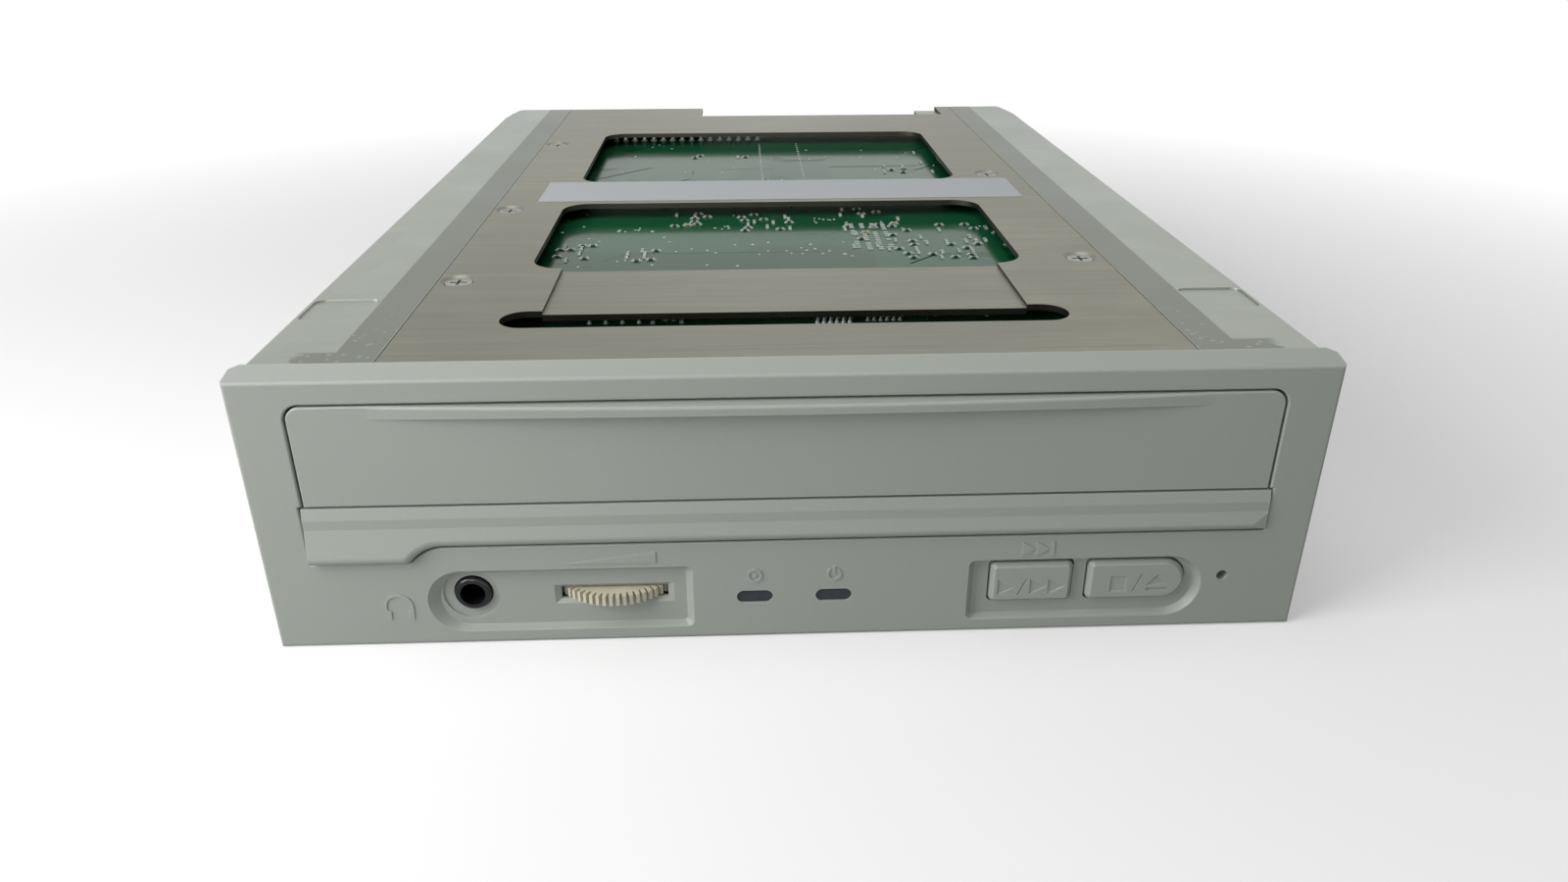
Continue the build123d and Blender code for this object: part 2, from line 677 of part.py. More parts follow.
def bezel():
    """The moulded front, with the tray opening, two control pockets and four side hooks."""
    half = BEZEL_WIDTH / 2
    profile = [(0, 0), (0, BEZEL_CREASE), (BEZEL_DEPTH, BEZEL_HEIGHT), (BEZEL_DEPTH, 0)]
    body = side_prism(profile, -half, half)
    corners = body.edges().filter_by(Axis.Z).group_by(Axis.Y)[-1]
    body = chamfer(corners, 1.1)
    front = [e for e in body.edges() if abs(e.center().Y) < 0.05 and e.length > 30]
    body = fillet(front, 0.5)
    inner = half - BEZEL_RIM
    body -= block(-inner, inner, BEZEL_PLATE, BEZEL_DEPTH + 1, BEZEL_RIM, BEZEL_CREASE - 1.0)
    strip, door = tray_front_sketch(PANEL_GAP)
    opening = front_prism(strip, -1, BEZEL_PLATE + 1) + front_prism(door, -1, BEZEL_PLATE + 1)
    body -= opening
    rim = [e for e in body.edges() if abs(e.center().Y) < 0.05 and abs(e.center().X) < half - 5]
    rim = [e for e in rim if STRIP_DROP - 1 < e.center().Z < DOOR_TOP + 1]
    body = fillet(rim, OPENING_ROUND)
    body -= pocket(half_round(*LEFT_POCKET_RIM), half_round(*LEFT_POCKET_FLOOR))
    body -= pocket(half_round(*RIGHT_POCKET_RIM), half_round(*RIGHT_POCKET_FLOOR))
    body -= along_y(JACK_X, JACK_Z, -1, BEZEL_PLATE + 1, JACK_RIM + 0.15)
    body -= along_y(JACK_X - 0.2, JACK_Z - 0.1, -1, POCKET_DEPTH + 0.25, 4.1)
    x0, x1 = WHEEL_X - WHEEL_SLOT_HALF, WHEEL_X + WHEEL_SLOT_HALF
    slot_low, slot_high = WHEEL_Z - WHEEL_THICK / 2 - FIT, WHEEL_Z + WHEEL_THICK / 2 + FIT
    body -= block(x0, x1, -1, BEZEL_PLATE + 1, slot_low, slot_high)
    bevel = box_sketch(x0 - 0.9, x1 + 0.9, slot_low - 0.6, slot_high + 0.6)
    body -= pocket(bevel, box_sketch(x0, x1, slot_low, slot_high), POCKET_DEPTH, POCKET_DEPTH + 0.5)
    for x in LAMP_XS:
        window = Pos(x, LAMP_Z) * SlotOverall(LAMP_WIDTH + 0.1, LAMP_HEIGHT + 0.1)
        body -= front_prism(window, -1, BEZEL_PLATE + 1)
    for outline in button_outlines(FIT):
        body -= front_prism(outline, -1, BEZEL_PLATE + 1)
    body -= along_y(EJECT_HOLE_X, EJECT_HOLE_Z, -1, BEZEL_PLATE + 1, EJECT_HOLE_RADIUS)
    case_inner = CASE_WIDTH / 2 - SHEET
    for side in (-1, 1):
        for z in HOOK_ZS:
            x0, x1 = sorted((side * (case_inner - 1.5), side * (case_inner - FIT)))
            body += block(x0, x1, BEZEL_PLATE - 0.2, HOOK_BACK, z, z + HOOK_HEIGHT)
            x0, x1 = sorted((side * (case_inner - 1.0), side * (case_inner + 0.75 * SHEET)))
            body += block(x0, x1, CATCH_FRONT, CATCH_BACK, z + 1, z + HOOK_HEIGHT - 1)
    for x in PEG_XS:
        body += block(x - 1.5, x + 1.5, BEZEL_PLATE - 0.2, HOOK_BACK, BEZEL_RIM - 0.2, PANEL_BOARD_Z)
    for mark in bezel_marks():
        body += front_prism(mark, -MARK_HEIGHT, 0.2)
    return body


def pocket(outer, inner, y0=0.0, y1=POCKET_DEPTH):
    """A recess whose walls slope from an outer outline at y0 to its floor outline at y1."""
    slope = loft([front_plane(y0) * outer, front_plane(y1) * inner])
    mouth = front_prism(outer, y0 - 1, y0)
    return slope + mouth


def button_outlines(grow):
    """Front outlines of the square play button and the eject button with its round end."""
    low, high = BUTTON_BOTTOM - grow, BUTTON_TOP + grow
    play = box_sketch(PLAY_LEFT - grow, PLAY_RIGHT + grow, low, high, BUTTON_CORNER)
    return play, half_round(EJECT_LEFT - grow, EJECT_RIGHT + grow, low, high, BUTTON_CORNER)


def triangle(x0, x1, z0, z1):
    """A triangle that points to the right, with its upright side at x0."""
    return make_face(Polyline((x0, z0), (x0, z1), (x1, (z0 + z1) / 2), close=True))


def stroke(x, z0, z1):
    """A slanted line that rises to the right, between two marks."""
    points = ((x - 0.7, z0), (x - 0.4, z0), (x + 0.7, z1), (x + 0.4, z1))
    return make_face(Polyline(*points, close=True))


def play_marks():
    """Sunk marks of the play button: one arrowhead, a stroke, two arrowheads."""
    x, z0, z1 = PLAY_LEFT, BUTTON_BOTTOM + 1.3, BUTTON_TOP - 2.6
    heads = [triangle(x + start, x + start + 2.5, z0, z1) for start in (1.05, 5.75, 8.45)]
    return heads + [stroke(x + 4.65, z0, z1)]


def eject_marks():
    """Sunk marks of the eject button: a square, a stroke, an arrowhead over a bar."""
    x, z0, z1 = EJECT_LEFT, BUTTON_BOTTOM + 1.5, BUTTON_TOP - 2.4
    head = make_face(Polyline((x + 8.7, z0 + 1.0), (x + 11.7, z0 + 1.0), (x + 10.2, z1 + 0.2), close=True))
    bar = box_sketch(x + 8.7, x + 11.7, z0, z0 + 0.55)
    return [box_sketch(x + 3.3, x + 5.7, z0, z1), stroke(x + 7.3, z0 - 0.1, z1 + 0.2), head, bar]


def bezel_marks():
    """Raised pictograms: headphones, a loudness wedge, a skip sign, a disc and a power sign."""
    x, z = JACK_X - 10.45, 6.6
    arch = Pos(x, z) * (Circle(2.05) - Circle(2.05 - MARK_LINE)) & box_sketch(x - 3, x + 3, z, z + 3)
    marks = [arch]
    for side in (-1, 1):
        x0, x1 = sorted((x + side * 2.05, x + side * (2.05 - MARK_LINE)))
        marks.append(box_sketch(x0, x1, z - 1.0, z + 0.1))
        x0, x1 = sorted((x + side * 2.0, x + side * 1.2))
        marks.append(box_sketch(x0, x1, z - 2.2, z - 0.7, 0.25))
    x = WHEEL_X
    marks.append(make_face(Polyline((x - 6.3, 13.1), (x + 6.3, 13.1), (x + 6.3, 14.75), close=True)))
    x = PLAY_LEFT + 4.1
    marks += [triangle(x + start, x + start + 1.9, 12.75, 15.05) for start in (0, 2.05)]
    marks.append(box_sketch(x + 4.15, x + 4.6, 12.75, 15.05))
    z = LAMP_Z + 3.6
    ring = Circle(1.1) - Circle(1.1 - MARK_LINE)
    marks += [Pos(LAMP_XS[0], z) * ring, Pos(LAMP_XS[0], z) * Circle(0.35)]
    x = LAMP_XS[1]
    marks.append(Pos(x, z) * ring - box_sketch(x - 0.5, x + 0.5, z + 0.4, z + 2))
    marks.append(box_sketch(x - MARK_LINE / 2, x + MARK_LINE / 2, z + 0.1, z + 1.3))
    return marks


def button(outline, flange, marks, x):
    """A push button: a bevelled cap, the flange that keeps it behind the bezel, and its stem."""
    cap = front_prism(outline, BUTTON_FACE, BEZEL_PLATE + 0.5)
    rim = [e for e in cap.edges() if abs(e.center().Y - BUTTON_FACE) < 0.01]
    cap = chamfer(rim, 0.6)
    for mark in marks:
        cap -= front_prism(mark, -1, BUTTON_FACE + MARK_DEPTH)
    middle = (BUTTON_BOTTOM + BUTTON_TOP) / 2
    stem_end = SWITCH_FRONT - PLUNGER - BUTTON_TRAVEL - 0.2
    body = cap + front_prism(flange, BEZEL_PLATE + 0.2, BEZEL_PLATE + 1.2)
    return body + block(x - 2, x + 2, BEZEL_PLATE + 1, stem_end, middle - 2, middle + 2)


def door_panel():
    """The tray's front panel with a finger lip that fades out at both ends, thinner at its edge."""
    panel = front_prism(tray_front_sketch(0)[1], 0, BEZEL_PLATE)
    panel &= block(DOOR_LEFT - 1, DOOR_RIGHT + 1, -1, 5, DOOR_BOTTOM, DOOR_TOP + 1)
    panel = chamfer([e for e in panel.edges() if abs(e.center().Y) < 0.01], 0.2)
    middle = (DOOR_LEFT + DOOR_RIGHT) / 2 + 0.25
    bow = (LIP_HALF**2 + LIP_PROUD**2) / (2 * LIP_PROUD)
    low = DOOR_TOP - LIP_THICKNESS
    lip = post(middle, bow - LIP_PROUD, low, DOOR_TOP, bow)
    lip &= block(middle - LIP_HALF, middle + LIP_HALF, -LIP_PROUD - 1, 1.0, low, DOOR_TOP)
    tip = [e for e in lip.edges().group_by(Axis.Z)[-1] if e.length > LIP_HALF and e.center().Y < -0.5]
    lip = fillet(tip, 0.45)
    edge = -LIP_PROUD - 1
    under = [(0, low - 1), (0, low), (-LIP_PROUD, low + LIP_RISE), (edge, low + LIP_RISE), (edge, low - 1)]
    lip -= side_prism(under, middle - LIP_HALF - 1, middle + LIP_HALF + 1)
    return panel + lip


def strip_panel():
    """The moulding under the door: a stepped ledge that drops lower at its left end."""
    body = front_prism(tray_front_sketch(0)[0], -STRIP_PROUD, BEZEL_PLATE)
    profile = [
        (BEZEL_PLATE, STRIP_TOP),
        (0, STRIP_TOP),
        (-STRIP_STEP, STRIP_STEP_TOP),
        (-STRIP_STEP, STRIP_LEDGE),
        (-STRIP_PROUD, STRIP_DROP),
        (-STRIP_PROUD, STRIP_DROP - 1),
        (BEZEL_PLATE, STRIP_DROP - 1),
    ]
    body &= side_prism(profile, STRIP_LEFT - 1, STRIP_RIGHT + 1)
    under = [e for e in body.edges() if e.center().Z < STRIP_BOTTOM + 0.1 and e.center().Y < -0.5]
    under = [e for e in under if STRIP_LEFT + 0.5 < e.center().X < STRIP_RIGHT - 0.5]
    body = fillet(under, STRIP_ROUND)
    taper = Polyline(
        (STRIP_RIGHT - 6.2, -STRIP_PROUD - 1),
        (STRIP_RIGHT - 6.2, -STRIP_PROUD),
        (STRIP_RIGHT + 1, -0.25),
        (STRIP_RIGHT + 1, -STRIP_PROUD - 1),
        close=True,
    )
    return body - plan_prism(make_face(taper), STRIP_DROP, STRIP_TOP)


def tray():
    """The disc tray: guide tongues, two disc seats, the pickup window, a rack and its front wall."""
    body = block(-TRAY_HALF, TRAY_HALF, BEZEL_PLATE + 1, TRAY_BACK, TRAY_BOTTOM, TRAY_TOP)
    body += block(-TONGUE_HALF, TONGUE_HALF, 7, TRAY_BACK, TONGUE_BOTTOM, TONGUE_TOP)
    front_half = TRAY_HALF - 1
    body += block(
        -front_half, front_half, BEZEL_PLATE, BEZEL_PLATE + 1.8, STRIP_BOTTOM + 0.8, DOOR_TOP - 0.8
    )
    body -= post(0, SPINDLE_Y, DISC_SEAT, TRAY_TOP + 1, DISC_SEAT_RADIUS)
    body -= post(0, SPINDLE_Y, SMALL_SEAT, TRAY_TOP + 1, SMALL_SEAT_RADIUS)
    window = Pos(0, SPINDLE_Y) * Circle(TRAY_WINDOW_HALF)
    window += box_sketch(-TRAY_WINDOW_HALF, TRAY_WINDOW_HALF, SPINDLE_Y, TRAY_WINDOW_BACK)
    body -= plan_prism(window, TRAY_BOTTOM - 1, TRAY_TOP + 1)
    recess = TRAY_HALF - 6.5
    body -= block(-recess, recess, REAR_RECESS_FRONT, TRAY_BACK - 3, DISC_SEAT, TRAY_TOP + 1)
    notch = PUCK_RADIUS + 2
    body -= block(-notch, notch, SPINDLE_Y, TRAY_BACK + 1, DISC_SEAT, TRAY_TOP + 1)
    for side in (-1, 1):
        x0, x1 = sorted((side * 52, side * (TRAY_HALF - 1.2)))
        body -= block(x0, x1, SPINDLE_Y - 14, SPINDLE_Y + 14, DISC_SEAT, TRAY_TOP + 1)
        body -= block(x0, x1, SPINDLE_Y + 42, SPINDLE_Y + 66, DISC_SEAT, TRAY_TOP + 1)
    rack = Pos(RACK_X, 0) * rack_sketch(RACK_MODULE, TRAIN_Y - 9, TRAY_BACK, TRAIN_Y)
    return body + plan_prism(rack, TRAY_BOTTOM - RACK_DROP, TRAY_BOTTOM + 0.5)


def train_places():
    """X of the tray gear, of the pulley gear and of the motor, all at one depth."""
    gear = RACK_X + RACK_MODULE * TRAY_PINION_TEETH / 2
    pulley = gear + TRAIN_MODULE * (TRAY_WHEEL_TEETH + PULLEY_PINION_TEETH) / 2
    return gear, pulley, pulley + PULLEY_SPACING


def loader():
    """The moulded inner frame that guides the tray, the deck and the cam plates."""
    front, back = LOADER_FRONT, LOADER_BACK
    low, high = LOADER_BOTTOM, BRIDGE_Z
    body = both_sides(LOADER_IN, LOADER_OUT, front, back, low, high)
    groove_low, groove_high = TONGUE_BOTTOM - RUN, TONGUE_TOP + RUN
    body -= both_sides(LOADER_IN - 1, TONGUE_HALF + RUN, front - 1, back + 1, groove_low, groove_high)
    guide = CAM_OUTER + CAM_SIDE_GAP
    guide_front, guide_back = CAM_FRONT - CAM_SIDE_GAP, CAM_BACK + CAM_TRAVEL + 1
    body += both_sides(CAM_INNER - CAM_SIDE_GAP, LOADER_IN + 1, guide_front, guide_back, low, LOADER_FLOOR)
    body += both_sides(guide, guide + 2, guide_front, guide_back, low, CAM_TOP - 1)
    platform = block(-LOADER_OUT, LOADER_OUT, front, guide_front - 0.4, 12.4, PLATFORM_TOP)
    platform += both_sides(LOADER_IN - 10, LOADER_OUT, front, guide_front + 1, low, PLATFORM_TOP)
    platform += block(-LOADER_OUT, LOADER_OUT, guide_back - 1, back, low, 12.0)
    platform -= block(-CAM_OUTER, CAM_OUTER, guide_back - 2, guide_back, low - 1, 13.0)
    body += platform
    gear_x, pulley_x, motor_x = train_places()
    body += post(gear_x, TRAIN_Y, PLATFORM_TOP - 0.5, PINION_LOW + 3, SHAFT)
    body += post(pulley_x, TRAIN_Y, PLATFORM_TOP - 0.5, PINION_LOW + 0.4, SHAFT)
    body -= post(motor_x, TRAIN_Y, 12, PLATFORM_TOP + 1, MOTOR_BOSS + 0.1)
    half = PIN_RADIUS + PIN_CLEAR
    for side in (-1, 1):
        for y in PIN_YS:
            x0, x1 = sorted((side * (guide - 1), side * (guide + 3)))
            body -= block(x0, x1, y - half, y + half, PIN_Z - half, CAM_TOP + 1)
    ledge_top = CASE_BOTTOM + 2 * SHEET
    for x, y in BOTTOM_SCREWS:
        body += post(x, y, ledge_top, low + 0.5, 4.0)
        body -= post(x, y, ledge_top - 1, low + 4, SCREW_SHANK + RUNNING)
    for x in (-BRIDGE_SCREW_X, BRIDGE_SCREW_X):
        body -= post(x, SPINDLE_Y, BRIDGE_Z - 5, BRIDGE_Z + 1, SCREW_SHANK + RUNNING)
    return body - block(
        LOADER_IN - 1, LOADER_OUT + 1, front - 1, CABLE_ROOM_BACK, PLATFORM_TOP, high + 1
    )


def cam_plate(side):
    """One sliding plate whose two sloping slots raise the deck."""
    x0, x1 = sorted((side * CAM_INNER, side * CAM_OUTER))
    plate = block(x0, x1, CAM_FRONT, CAM_BACK, LOADER_FLOOR + 0.2, CAM_TOP)
    half = PIN_RADIUS + PIN_CLEAR
    slope = math.hypot(CAM_TRAVEL, LIFT)
    lean = math.degrees(math.atan2(LIFT, -CAM_TRAVEL))
    for y in PIN_YS:
        middle = Pos(0, y - CAM_TRAVEL / 2, PIN_Z + LIFT / 2)
        slot = SlotCenterToCenter(slope, 2 * half)
        turn = Plane(origin=(x0 - 1, 0, 0), x_dir=(0, 1, 0), z_dir=(1, 0, 0))
        plate -= middle * extrude(turn * Rot(0, 0, lean) * slot, CAM_OUTER - CAM_INNER + 2)
    return plate


def lift_frame():
    """The moulded ring that carries the pickup deck, with its four lifting pins."""
    front, back = GROMMET_YS[0] - 4.5, GROMMET_YS[1] + 6
    ring = block(-FRAME_HALF, FRAME_HALF, front, back, RING_LOW, RING_HIGH)
    window = GROMMET_X - 4
    ring -= block(-window, window, front + 8.6, back - 12, RING_LOW - 1, RING_HIGH + 1)
    for side in (-1, 1):
        for y in PIN_YS:
            x0, x1 = sorted((side * (FRAME_HALF - 1), side * (CAM_OUTER + 2.2)))
            ring += along_x(y, PIN_Z, x0, x1, PIN_RADIUS)
        for y in GROMMET_YS:
            ring -= post(side * GROMMET_X, y, RING_LOW - 1, RING_HIGH + 1, SCREW_SHANK + RUNNING)
    return ring


def deck():
    """The steel deck plate with the pickup slot and the two pairs of rod brackets."""
    edge = GROMMET_X + 4
    plate = block(-edge, edge, GROMMET_YS[0] - 3.5, GROMMET_YS[1] + 4.5, DECK_Z, DECK_TOP)
    slot = box_sketch(3 - ROD_X, ROD_X - 3, ROD_FRONT + 10, ROD_BACK - 4, 3.0)
    plate -= plan_prism(slot, DECK_Z - 1, DECK_TOP + 1)
    plate -= post(0, SPINDLE_Y, DECK_Z - 1, DECK_TOP + 1, SPINDLE_BOSS + 0.1)
    for side in (-1, 1):
        x0, x1 = sorted((side * (ROD_X - 3), side * (ROD_X + 3)))
        for y in (ROD_FRONT, ROD_BACK - BRACKET):
            plate += block(x0, x1, y, y + BRACKET, DECK_TOP - 0.2, ROD_Z + ROD_RADIUS + 0.7)
        for y in GROMMET_YS:
            plate -= post(side * GROMMET_X, y, DECK_Z - 1, DECK_TOP + 1, GROMMET_WAIST + RUNNING)
        plate -= along_y(side * ROD_X, ROD_Z, ROD_FRONT - 1, ROD_BACK + 1, ROD_RADIUS + 0.01)
    gear_x, motor_y = sled_places()
    plate -= post(gear_x, motor_y, DECK_Z - 1, DECK_TOP + 1, MOTOR_BOSS + 0.1)
    return plate + post(gear_x, SLED_GEAR_Y, DECK_TOP - 0.2, SLED_RACK_HIGH + 0.2, SHAFT)


def sled_places():
    """X of the sled gear, and the depth of the motor pinion that drives it."""
    gear_x = SLED_RACK_X - SLED_MODULE * SLED_PINION_TEETH / 2
    return gear_x, SLED_GEAR_Y - SLED_TRAIN_MODULE * (SLED_WHEEL_TEETH + SLED_MOTOR_TEETH) / 2


def grommets():
    """Four soft spools that the deck plate hangs in."""
    group = []
    for side in (-1, 1):
        for y in GROMMET_YS:
            x = side * GROMMET_X
            spool = post(x, y, RING_HIGH, DECK_Z, GROMMET_RADIUS)
            spool += post(x, y, RING_HIGH, GROMMET_TOP, GROMMET_WAIST)
            spool += post(x, y, DECK_TOP, GROMMET_TOP, GROMMET_RADIUS)
            group.append(spool - post(x, y, RING_HIGH - 1, GROMMET_TOP + 1, SCREW_SHANK + 0.1))
    return group


def sled():
    """The pickup carriage, bored for both rods, with its rack on the left."""
    y0, y1 = LENS_Y - SLED_HALF_LENGTH, LENS_Y + SLED_HALF_LENGTH
    body = block(-SLED_HALF, SLED_HALF, y0, y1, SLED_BOTTOM, SLED_TOP)
    body = fillet(body.edges() | Axis.Z, 2.0)
    for side in (-1, 1):
        body -= along_y(side * ROD_X, ROD_Z, y0 - 1, y1 + 1, ROD_RADIUS + 0.04)
    body -= block(-7.5, 7.5, LENS_Y - 6.5, LENS_Y + 6.5, SLED_TOP - 1.2, SLED_TOP + 1)
    reach = SLED_TRAVEL + 4
    start, end = SLED_GEAR_Y - reach, SLED_GEAR_Y + 4
    rack = Pos(SLED_RACK_X, 0) * rack_sketch(SLED_MODULE, start, end, SLED_GEAR_Y, -1, SLED_SLACK)
    body += plan_prism(rack, SLED_RACK_LOW, SLED_RACK_HIGH)
    web = block(SLED_RACK_X + 1.6, 1 - SLED_HALF, y0 + 2, y1 - 2, SLED_RACK_LOW, SLED_RACK_HIGH)
    return body + web


def lens():
    """The moving lens holder and the domed lens that sits in it."""
    seat = SLED_TOP + 0.1
    holder = block(-6.5, 6.5, LENS_Y - 5.5, LENS_Y + 5.5, SLED_TOP - 0.8, SLED_TOP + 0.9)
    holder -= post(0, LENS_Y, seat, seat + 2, LENS_RADIUS)
    glass = post(0, LENS_Y, seat, seat + 0.8, LENS_RADIUS)
    dome = Pos(0, LENS_Y, seat - 1.7) * Sphere(3.6)
    return holder, glass + (dome & post(0, LENS_Y, seat + 0.7, seat + 3, LENS_RADIUS - 0.1))


def clamp_bridge():
    """The steel bridge over the tray that holds the clamp disc."""
    y0, y1 = SPINDLE_Y - BRIDGE_HALF_DEPTH, SPINDLE_Y + BRIDGE_HALF_DEPTH
    reach, lip = LOADER_OUT - 0.2, LOADER_IN - 3.2
    plate = block(-reach, reach, y0, y1, BRIDGE_Z, BRIDGE_Z + BRIDGE_SHEET)
    for y in (y0, y1 - BRIDGE_SHEET):
        plate += block(-lip, lip, y, y + BRIDGE_SHEET, TRAY_TOP + 1.2, BRIDGE_Z + 0.2)
    plate -= post(0, SPINDLE_Y, BRIDGE_Z - 1, BRIDGE_Z + 3, PUCK_NECK + RUN)
    for x in (-BRIDGE_SCREW_X, BRIDGE_SCREW_X):
        plate -= post(x, SPINDLE_Y, BRIDGE_Z - 1, BRIDGE_Z + 3, SCREW_SHANK + RUNNING)
    return plate


def pin_row(count, x_middle, y0, y1, z):
    """A row of square pins that point to the back."""
    half = PIN_SQUARE / 2
    first = x_middle - (count - 1) * PIN_PITCH / 2
    xs = [first + number * PIN_PITCH for number in range(count)]
    return [block(x - half, x + half, y0, y1, z - half, z + half) for x in xs]


def data_header():
    """The long shrouded header for the data cable, open to the back."""
    half, low = DATA_WIDTH / 2, BOARD_BOTTOM - DATA_HEIGHT
    y0, y1 = SOCKET_BACK - 10.5, SOCKET_BACK
    shell = block(DATA_X - half, DATA_X + half, y0, y1, low, BOARD_BOTTOM)
    shell -= block(DATA_X - half + 1, DATA_X + half - 1, y0 + 2, y1 + 1, low + 1, BOARD_BOTTOM - 1)
    return shell - block(DATA_X - 2.2, DATA_X + 2.2, y0 + 3, y1 + 1, low - 1, low + 2)


def power_inlet():
    """The four-way power inlet, with its two bevelled corners, open to the back."""
    half, low = POWER_WIDTH / 2, BOARD_BOTTOM - POWER_HEIGHT
    body = block(POWER_X - half, POWER_X + half, SOCKET_BACK - 11, SOCKET_BACK, low, BOARD_BOTTOM)
    half -= POWER_WALL
    room_front, room_top = SOCKET_BACK - POWER_ROOM, BOARD_BOTTOM - POWER_WALL
    room_low = low + POWER_WALL
    inside = block(POWER_X - half, POWER_X + half, room_front, SOCKET_BACK + 1, room_low, room_top)
    bevel = [e for e in inside.edges() | Axis.Y if e.center().Z < room_low + 1]
    return body - chamfer(bevel, 2.0)


def audio_socket():
    """The small socket for the sound cable, open to the back."""
    half, low = AUDIO_WIDTH / 2, BOARD_BOTTOM - AUDIO_HEIGHT
    body = block(AUDIO_X - half, AUDIO_X + half, SOCKET_BACK - 9, SOCKET_BACK, low, BOARD_BOTTOM)
    half -= AUDIO_WALL
    room_front, room_top = SOCKET_BACK - AUDIO_ROOM, BOARD_BOTTOM - AUDIO_WALL
    return body - block(
        AUDIO_X - half, AUDIO_X + half, room_front, SOCKET_BACK + 1, low + AUDIO_WALL, room_top
    )


def jumper_set():
    """The pin block that sets the drive's number, its two rows of pins and two bridging caps."""
    half = JUMPER_PINS * PIN_PITCH / 2 + 0.6
    y0, y1 = SOCKET_BACK - 11, SOCKET_BACK - 7.5
    base = block(JUMPER_X - half, JUMPER_X + half, y0, y1, BOARD_BOTTOM - JUMPER_HEIGHT, BOARD_BOTTOM)
    rows = [
        pin_row(JUMPER_PINS, JUMPER_X, y1, SOCKET_BACK - 0.9, JUMPER_PIN_Z + row * PIN_PITCH)
        for row in (-0.5, 0.5)
    ]
    caps = []
    for number in (0, 3):
        x = JUMPER_X + (number - (JUMPER_PINS - 1) / 2) * PIN_PITCH
        cap = block(x - 1.2, x + 1.2, y1 + 0.3, SOCKET_BACK - 0.4, JUMPER_PIN_Z - 2.6, JUMPER_PIN_Z + 2.6)
        caps.append(cap - rows[0][number] - rows[1][number])
    return base, rows[0] + rows[1], caps


def board_chips():
    """Flat chips on the underside of the main board."""
    low = BOARD_BOTTOM - CHIP_HEIGHT
    return [
        block(x - size / 2, x + size / 2, y - size / 2, y + size / 2, low, BOARD_BOTTOM)
        for x, y, size in CHIPS
    ]


def firmware_tails():
    """The solder tails of the socketed chip, which go through the board in two rows."""
    half = PIN_SQUARE / 2
    first = FIRMWARE_LEFT + 0.25
    xs = [first + number * PIN_PITCH for number in range(FIRMWARE_PINS)]
    rows = (FIRMWARE_FRONT, FIRMWARE_FRONT + FIRMWARE_ROWS)
    low, high = BOARD_BOTTOM - 1.2, BOARD_TOP + SOLDER_TAIL
    return [block(x - half, x + half, y - half, y + half, low, high) for x in xs for y in rows]


def firmware_chip():
    """The chip in its socket under the board, with the tails."""
    x0, x1 = FIRMWARE_LEFT - 1, FIRMWARE_LEFT + FIRMWARE_PINS * PIN_PITCH - 1
    y0, y1 = FIRMWARE_FRONT, FIRMWARE_FRONT + FIRMWARE_ROWS
    body = block(x0, x1, y0 + 1, y1 - 1, BOARD_BOTTOM - SOCKET_HEIGHT, BOARD_BOTTOM)
    body += block(x0, x1, y0 - 0.8, y1 + 0.8, BOARD_BOTTOM - 1.4, BOARD_BOTTOM)
    for tail in firmware_tails():
        body += tail
    return body


def main_board():
    """The large circuit board under the cover, solder side up."""
    board = block(-BOARD_HALF, BOARD_HALF, BOARD_FRONT, BOARD_BACK, BOARD_BOTTOM, BOARD_TOP)
    for x, y in board_screw_places():
        board -= post(x, y, BOARD_BOTTOM - 1, BOARD_TOP + 1, SCREW_SHANK + 0.2)
    for tail in firmware_tails():
        board -= tail
    return board


def board_screw_places():
    return [(x, y) for x in (-BOARD_SCREW_X, BOARD_SCREW_X) for y in BOARD_SCREW_YS]


def volume_wheel():
    """The toothed thumb wheel of the headphone volume control."""
    root = WHEEL_RADIUS - WHEEL_GROOVE
    points = []
    for tooth in range(WHEEL_TEETH):
        start = 2 * math.pi * tooth / WHEEL_TEETH
        step = 2 * math.pi / WHEEL_TEETH
        for share, radius in ((0.0, root), (0.28, root), (0.40, WHEEL_RADIUS), (0.88, WHEEL_RADIUS)):
            angle = start + share * step
            points.append((radius * math.cos(angle), radius * math.sin(angle)))
    low, high = WHEEL_Z - WHEEL_THICK / 2, WHEEL_Z + WHEEL_THICK / 2
    wheel = plan_prism(make_face(Polyline(*points, close=True)), low, high)
    wheel = Pos(WHEEL_X, WHEEL_Y, 0) * wheel
    return wheel - post(WHEEL_X, WHEEL_Y, low - 1, high + 1, WHEEL_SHAFT + RUNNING)


def volume_pot():
    """The small rotary control under the wheel, with its upright shaft."""
    low = WHEEL_Z - WHEEL_THICK / 2
    body = block(WHEEL_X - 4.5, WHEEL_X + 4.5, WHEEL_Y - 3.5, WHEEL_Y + 4.5, PANEL_TOP, low - RUN)
    return body + post(WHEEL_X, WHEEL_Y, low - 1, low + WHEEL_THICK + 0.4, WHEEL_SHAFT)


def headphone_jack():
    """The headphone socket: a square body with a round nose in the bezel."""
    body = block(JACK_X - 5, JACK_X + 5, BEZEL_PLATE + 0.6, JACK_BORE_END + 1.5, PANEL_TOP, JACK_Z + 4.4)
    body += along_y(JACK_X, JACK_Z, JACK_NOSE, 5, JACK_RIM)
    rim = [e for e in body.edges() if abs(e.center().Y - JACK_NOSE) < 0.01]
    body = fillet(rim, 0.5)
    return body - along_y(JACK_X, JACK_Z, -1, JACK_BORE_END, JACK_BORE)


